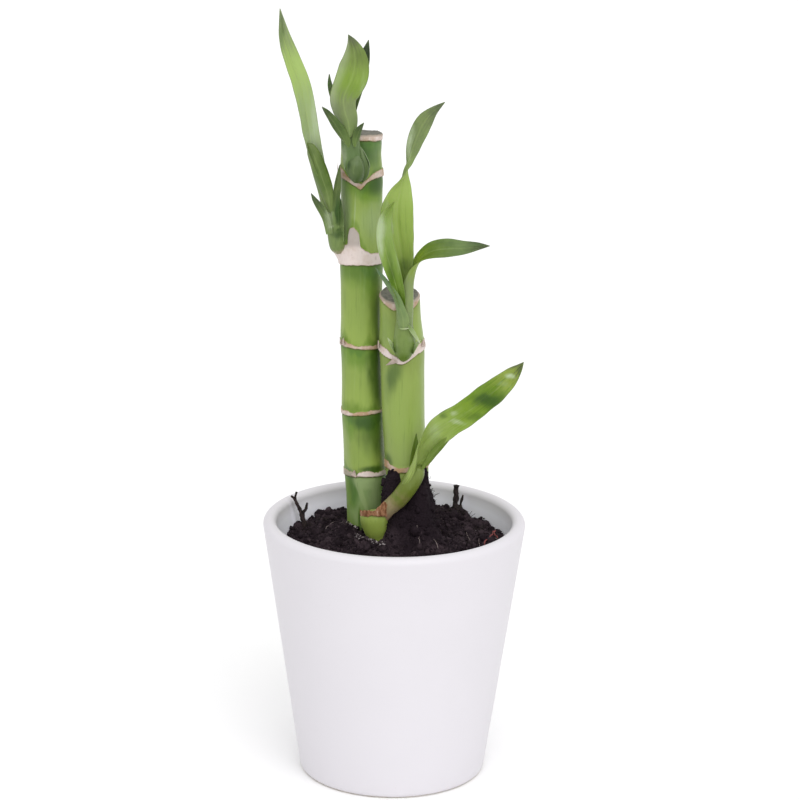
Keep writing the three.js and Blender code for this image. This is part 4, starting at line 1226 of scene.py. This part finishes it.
def stem_look(name, greens):
    """Stem of a shoot: green that changes along it, with fine strands, and soft spots that are partly
    painted shade.
    """
    look = Look(name, 0.42, 0.3)
    strands = look.noise(look.place((1, 1, 0.12)), 0.8, 4.0, 0.6)
    blotches = look.noise(look.place(), 0.25)
    colour = look.ramp(look.wavered(look.value("along"), blotches, 0.08), greens)
    colour = look.tint(colour, strands, 0.55, 0.78, 0.25, 160, 178, 122)
    colour = look.tint(colour, strands, 0.45, 0.22, 0.3, 52, 74, 32)
    shade = look.wavered(look.value("shade"), blotches, 0.1)
    colour = look.tint(colour, shade, 0.05, 1.0, 0.85, 52, 74, 32)
    colour = look.tint(colour, shade, -0.05, -1.0, 0.85, 190, 200, 170)
    return look.finish(colour, look.steps(strands, 0.3, 0.7, 0.36, 0.5), look.bump(strands, 0.06))


def torn_look():
    """Torn dry sheath: reddish brown with paler and darker shreds."""
    look = Look("torn_sheath", 0.75, 0.2)
    shreds = look.noise(look.place((1, 1, 0.4)), 1.2, 4.0, 0.65)
    colour = look.mix(look.steps(shreds, 0.35, 0.6), shown(120, 84, 62), shown(172, 128, 98))
    colour = look.tint(colour, shreds, 0.6, 0.72, 1, 210, 176, 154)
    return look.finish(colour, None, look.bump(shreds, 0.25))


def twig_look():
    """Dark dead twig with cracked bark."""
    look = Look("twig_bark", 0.85, 0.25)
    grain = look.noise(look.place((1, 1, 0.3)), 2.2, 5.0, 0.7)
    colour = look.mix(look.steps(grain, 0.35, 0.7), shown(34, 28, 30), shown(82, 71, 70))
    return look.finish(colour, None, look.bump(grain, 0.3))


def root_look():
    """Fine pale roots, dusted with soil, and reddish ones."""
    look = Look("root", 0.7, 0.2)
    dust = look.noise(look.place(), 0.9, 4.0, 0.7)
    clean = look.mix(look.value("red"), shown(150, 138, 136), shown(152, 86, 86))
    colour = look.tint(clean, dust, 0.42, 0.62, 0.8, 84, 70, 68)
    return look.finish(colour, None, look.bump(dust, 0.1))


def floor_look():
    """Plain matt white paper."""
    look = Look("white_paper", 0.9, 0.1)
    grain = look.noise(look.place(), 0.01, 2.0)
    return look.finish(look.mix(grain, rgb(250, 250, 250), rgb(252, 252, 252)))


# Assembly


def place(piece, slot, *nodes):
    """The piece rides with the plant, and stands for the nodes that it names."""
    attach(piece, "root")
    if nodes:
        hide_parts(*nodes)


def grow(make, name, slot, parts, material, spots=(), nodes=(), **form):
    """One piece of several blades or tubes, each with a seed of its own."""
    shape = Shape()
    for k, stations in enumerate(parts):
        shape.add(*make(stations, **{"seed": k, **form}))
    place(shape.piece(name, material, spots), slot, *nodes)


def leaf_piece(node, stations, material, spots=(), **form):
    grow(blade, node + "_blade", "leaf", [stations], material, spots, [node], **form)


def stem_piece(node, stations, material, spots):
    grow(tube, node + "_stem", "stem", [stations], material, spots, [node], ridges=0.06)


def torn_shape(ring):
    """A torn band of dry sheath round a stem, ragged above and below, with a flap standing up."""
    angle = np.linspace(-np.pi, np.pi, 120, endpoint=False)
    circle = ring_points(angle, 1, 0)
    away = (np.degrees(angle) - ring["flap_angle"] + 180) % 360 - 180
    flap = ring["flap"] * np.clip(1 - np.abs(away) / ring["flap_reach"], 0, 1)
    tilt = -ring["tilt"] * np.sin(angle)
    low = ring["low"] + tilt + 0.3 * rough_noise(circle * 9, 2.2, SEED + 90)
    high = ring["high"] + tilt + flap + 0.4 * rough_noise(circle * 9, 1.3, SEED + 91)
    crumple = 0.25 * rough_noise(circle * 8, 2.0, SEED + 92)
    up = np.linspace(0, 1, 9)
    rings = []
    for shares, thickness in ((up, 0), (up[::-1], 0.3)):
        for u in shares:
            reach = ring["radius"] + ring["flare"] * u + crumple * u - thickness
            rows = ring_points(angle, reach, low + u * (high - low))
            rings.append(rows + [ring["x"] + ring["lean"] * u, ring["y"], 0])
    return Shape(np.concatenate(rings), grid_faces(len(rings), len(angle), loop=True), {})


def canes():
    tall = [
        [0, 98, 132, 60], [0.15, 118, 148, 66], [0.45, 144, 166, 86],
        [0.85, 150, 172, 88], [1, 124, 150, 66],
    ]
    short = [[0, 140, 158, 84], [0.2, 146, 166, 88], [0.6, 150, 172, 92], [1, 150, 170, 96]]
    dark, light, cold = (62, 88, 38), (164, 184, 128), (88, 118, 84)
    papery = scale_look()
    form = {"steps": 8, "segments": 12, "thickness": 0.22, "wave": 0.25}
    for name, cane, scales, greens in (
        ("cane_tall", CANE_TALL, SCALES_TALL, tall),
        ("cane_short", CANE_SHORT, SCALES_SHORT, short),
    ):
        skin = cane_look(name + "_skin", greens, dark, light, cold)
        place(cane_shape(cane).piece(name + "_skin", skin), "cane", name)
        rows = [scale_stations(cane, scale) for scale in scales]
        grow(blade, name + "_scales", "cane", rows, papery, None, **form)


def stems():
    top = [[0, 86, 112, 52], [0.5, 100, 122, 78], [0.8, 94, 114, 70], [1, 100, 122, 74]]
    stem_piece("shoot_top", STEM_TOP, stem_look("stem_green", top), SPOTS_TOP)
    left = [[0, 156, 152, 120], [0.3, 120, 140, 84], [1, 128, 150, 100]]
    stem_piece("shoot_left", STEM_LEFT, stem_look("stem_pale", left), SPOTS_LEFT)
    bulb = [[0, 102, 126, 60], [0.5, 122, 142, 82], [1, 118, 138, 86]]
    stem_piece("shoot_short", STEM_SHORT, stem_look("stem_bulb", bulb), SPOTS_SHORT)
    bulge = [[0, 138, 154, 74], [0.75, 144, 162, 82], [1, 148, 160, 90]]
    stem_piece("shoot_base", STEM_BASE, stem_look("stem_bulge", bulge), SPOTS_BULB)
    arm = [
        [0, 164, 138, 112], [0.22, 160, 146, 114], [0.42, 134, 130, 84],
        [0.6, 112, 126, 58], [1, 124, 140, 76],
    ]
    look = stem_look("stem_arm", arm)
    grow(tube, "shoot_base_arm", "stem", [STEM_ARM], look, SPOTS_BULB, ridges=0.05)
    place(torn_shape(TORN_RING).piece("shoot_base_torn_sheath", torn_look()), "stem")
    heart = stem_look("stem_heart", [[0, 82, 102, 60], [0.5, 90, 108, 68], [1, 114, 132, 94]])
    grow(tube, "shoot_top_heart", "stem", HEARTS_TOP, heart, SPOTS_TOP, ridges=0.03)


def bracts_and_young_leaves():
    cup = [[0, 96, 122, 64], [0.4, 126, 146, 108], [1, 132, 152, 116]]
    bract = leaf_look("bract", cup, margin=(186, 196, 168))
    grow(blade, "shoot_top_bract", "stem", BRACTS_TOP, bract, thickness=0.4)
    fresh = [[0, 112, 134, 80], [0.5, 156, 174, 124], [1, 190, 200, 164]]
    bract = leaf_look("bract_pale", fresh, margin=(196, 206, 172), tip=0)
    grow(blade, "shoot_short_bracts", "stem", BRACTS_SHORT, bract, segments=10, thickness=0.3)
    upper = [[0, 118, 138, 88], [0.5, 88, 106, 62], [1, 66, 78, 58]]
    lower = [[0, 104, 126, 68], [0.5, 82, 102, 56], [1, 62, 74, 52]]
    young = leaf_look("leaf_young", upper, lower, margin=(120, 138, 92))
    base = leaf_look("leaf_young_base", [[0, 104, 124, 48], [1, 88, 108, 38]])
    form = {"segments": 14, "thickness": 0.4, "fold": 0.1, "wave": 0.1}
    grow(blade, "shoot_top_young_leaves", "stem", BUDS_TOP, young, **form)
    grow(blade, "shoot_left_young_leaves", "stem", BUDS_LEFT, young, SPOTS_LEFT, **form)
    grow(blade, "shoot_base_young_leaf", "stem", BUDS_BASE, base, **form)


def upper_leaves():
    """The leaves of the two shoots on the tall cane."""
    broad = [
        [0, 118, 138, 84], [0.3, 122, 136, 92], [0.55, 130, 157, 68],
        [0.8, 114, 132, 72], [1, 86, 92, 72],
    ]
    look = leaf_look("leaf_broad", broad, flank=0.4)
    leaf_piece("leaf_top_broad", LEAF_TOP_BROAD, look, SPOTS_BROAD, fold=0.2, wave=0.15)
    look = leaf_look("leaf_dim", [[0, 76, 94, 56], [0.6, 66, 80, 54], [1, 70, 80, 66]])
    leaf_piece("leaf_top_back", LEAF_TOP_BACK, look, fold=0.2)
    inner = [
        [0, 110, 134, 72], [0.3, 174, 187, 153], [0.5, 164, 183, 130],
        [0.75, 166, 190, 110], [0.9, 140, 156, 106], [1, 134, 144, 112],
    ]
    outer = [
        [0, 140, 154, 110], [0.12, 126, 144, 90], [0.25, 100, 124, 62],
        [0.4, 92, 116, 54], [1, 120, 140, 80],
    ]
    look = leaf_look("leaf_long", inner, outer, tip=0.2)
    leaf_piece("leaf_left_long", LEAF_LEFT_LONG, look, SPOTS_LONG, fold=0.25, wave=0.1, keel=0.3)
    green = [[0, 94, 111, 64], [0.5, 91, 113, 57], [1, 112, 130, 78]]
    look = leaf_look("leaf_fold", green, flank=-0.1, tip=0)
    grow(blade, "leaf_left_long_fold", "leaf", [FOLD_LEFT_LONG], look, SPOTS_FOLD, thickness=0.4)


def middle_leaves():
    """The leaves of the shoot on the short cane."""
    face = [
        [0, 92, 124, 40], [0.2, 138, 160, 78], [0.4, 152, 176, 88],
        [0.68, 154, 176, 96], [1, 128, 142, 96],
    ]
    back = [[0, 118, 140, 78], [0.5, 124, 146, 84], [0.8, 118, 134, 88], [1, 94, 104, 78]]
    look = leaf_look("leaf_tall", face, back)
    leaf_piece("leaf_short_tall", LEAF_SHORT_TALL, look, SPOTS_TALL, fold=0.35, wave=0.15, keel=0.2)
    front = [
        [0, 88, 118, 40], [0.25, 116, 146, 60], [0.5, 136, 162, 82],
        [0.8, 146, 170, 98], [1, 140, 162, 84],
    ]
    look = leaf_look("leaf_front", front, tip=0.1)
    leaf_piece("leaf_short_front", LEAF_SHORT_FRONT, look, SPOTS_FRONT, fold=0.3, keel=1.2)
    arch = [
        [0, 122, 138, 96], [0.3, 134, 150, 98], [0.45, 130, 154, 56],
        [0.6, 98, 122, 50], [0.8, 104, 126, 76], [1, 84, 92, 66],
    ]
    look = leaf_look("leaf_arch", arch)
    leaf_piece("leaf_short_arching", LEAF_SHORT_ARCHING, look, SPOTS_ARCH, fold=0.2, keel=0.3)
    look = leaf_look("leaf_cool", [[0, 124, 144, 92], [0.5, 112, 136, 88], [1, 92, 118, 88]])
    leaf_piece("leaf_short_narrow", LEAF_SHORT_NARROW, look, fold=0.1)


def low_leaf():
    """The large leaf of the shoot at the foot."""
    low = [
        [0, 112, 128, 60], [0.09, 124, 142, 70], [0.17, 158, 178, 98], [0.42, 146, 168, 86],
        [0.6, 122, 150, 52], [0.75, 106, 136, 42], [0.92, 140, 158, 72], [1, 112, 120, 80],
    ]
    look = leaf_look("leaf_low", low, gloss=0.32)
    leaf_piece("leaf_base", LEAF_BASE, look, SPOTS_LOW, fold=0.35, wave=0.3, seed=1)
    olive = [[0, 112, 132, 56], [0.5, 96, 118, 48], [1, 118, 138, 66]]
    look = leaf_look("leaf_low_fold", olive, tip=0)
    grow(blade, "leaf_base_fold", "leaf", [FOLD_BASE], look, thickness=0.3)


def pot_and_soil():
    place(pot_shape().piece("pot_glazed", glaze_look()), "glaze", "pot")
    dark = soil_look("soil_dark", rgb(36, 28, 33), rgb(66, 55, 60), rgb(102, 90, 88))
    place(soil_shape().piece("soil_bed", dark), "soil", "soil")
    place(coarse_crumbs().piece("soil_crumbs", dark), "soil")
    place(fine_crumbs().piece("soil_grains", dark), "soil")
    pale = soil_look("soil_pale", rgb(70, 60, 64), rgb(176, 166, 168), rgb(226, 220, 218))
    place(pale_crumbs().piece("soil_pale_crumbs", pale), "soil")
    bark = twig_look()
    place(fibres_shape().piece("soil_fibres", bark), "soil")
    place(roots_shape().piece("soil_roots", root_look()), "soil")
    for name, branches in (("twig_left", TWIG_LEFT), ("twig_right", TWIG_RIGHT)):
        grow(tube, name + "_bark", "twig", branches, bark, None, [name], sides=14, grain=0.35)


# Floor, light and camera

FLOOR_SIZE = 6.0
IMAGE_HEIGHT = 800
FOCAL_PIXELS = 3202
SENSOR = 36
CAMERA_PLACE = (0.0014, -1.045, 0.438)
CAMERA_DOWN = math.radians(16.28)
CAMERA_ROLL = math.radians(0.59)
ROOM_LIGHT = 0.82


def stage():
    bpy.ops.mesh.primitive_grid_add(x_subdivisions=4, y_subdivisions=4, size=FLOOR_SIZE)
    floor = bpy.context.object
    floor.name = "floor"
    floor.data.materials.append(floor_look())


def sun(name, side, height, strength, spread):
    """Soft light from far away: its side is 0 at the front and 90 at the right, in degrees."""
    data = bpy.data.lights.new(name, "SUN")
    data.energy = strength
    data.angle = math.radians(spread)
    light = bpy.data.objects.new(name, data)
    light.rotation_euler = (math.radians(90 - height), 0, math.radians(side))
    bpy.context.scene.collection.objects.link(light)


def studio():
    sun("key", 15, 40, 1.2, 50)
    sun("top", 0, 88, 0.3, 60)
    world = bpy.data.worlds.new("white_room")
    world.use_nodes = True
    room = world.node_tree.nodes["Background"]
    room.inputs["Color"].default_value = (1, 1, 1, 1)
    room.inputs["Strength"].default_value = ROOM_LIGHT
    bpy.context.scene.world = world
    bpy.context.scene.view_settings.view_transform = "Standard"


def camera():
    data = bpy.data.cameras.new("camera")
    data.sensor_width = SENSOR
    data.lens = FOCAL_PIXELS / IMAGE_HEIGHT * SENSOR
    data.clip_start = 0.05
    eye = bpy.data.objects.new("camera", data)
    level = Matrix.Rotation(math.pi / 2 - CAMERA_DOWN, 4, "X")
    roll = Matrix.Rotation(CAMERA_ROLL, 4, "Z")
    eye.matrix_world = Matrix.Translation(CAMERA_PLACE) @ level @ roll
    bpy.context.scene.collection.objects.link(eye)
    bpy.context.scene.camera = eye


canes()
stems()
bracts_and_young_leaves()
upper_leaves()
middle_leaves()
low_leaf()
pot_and_soil()
stage()
studio()
camera()
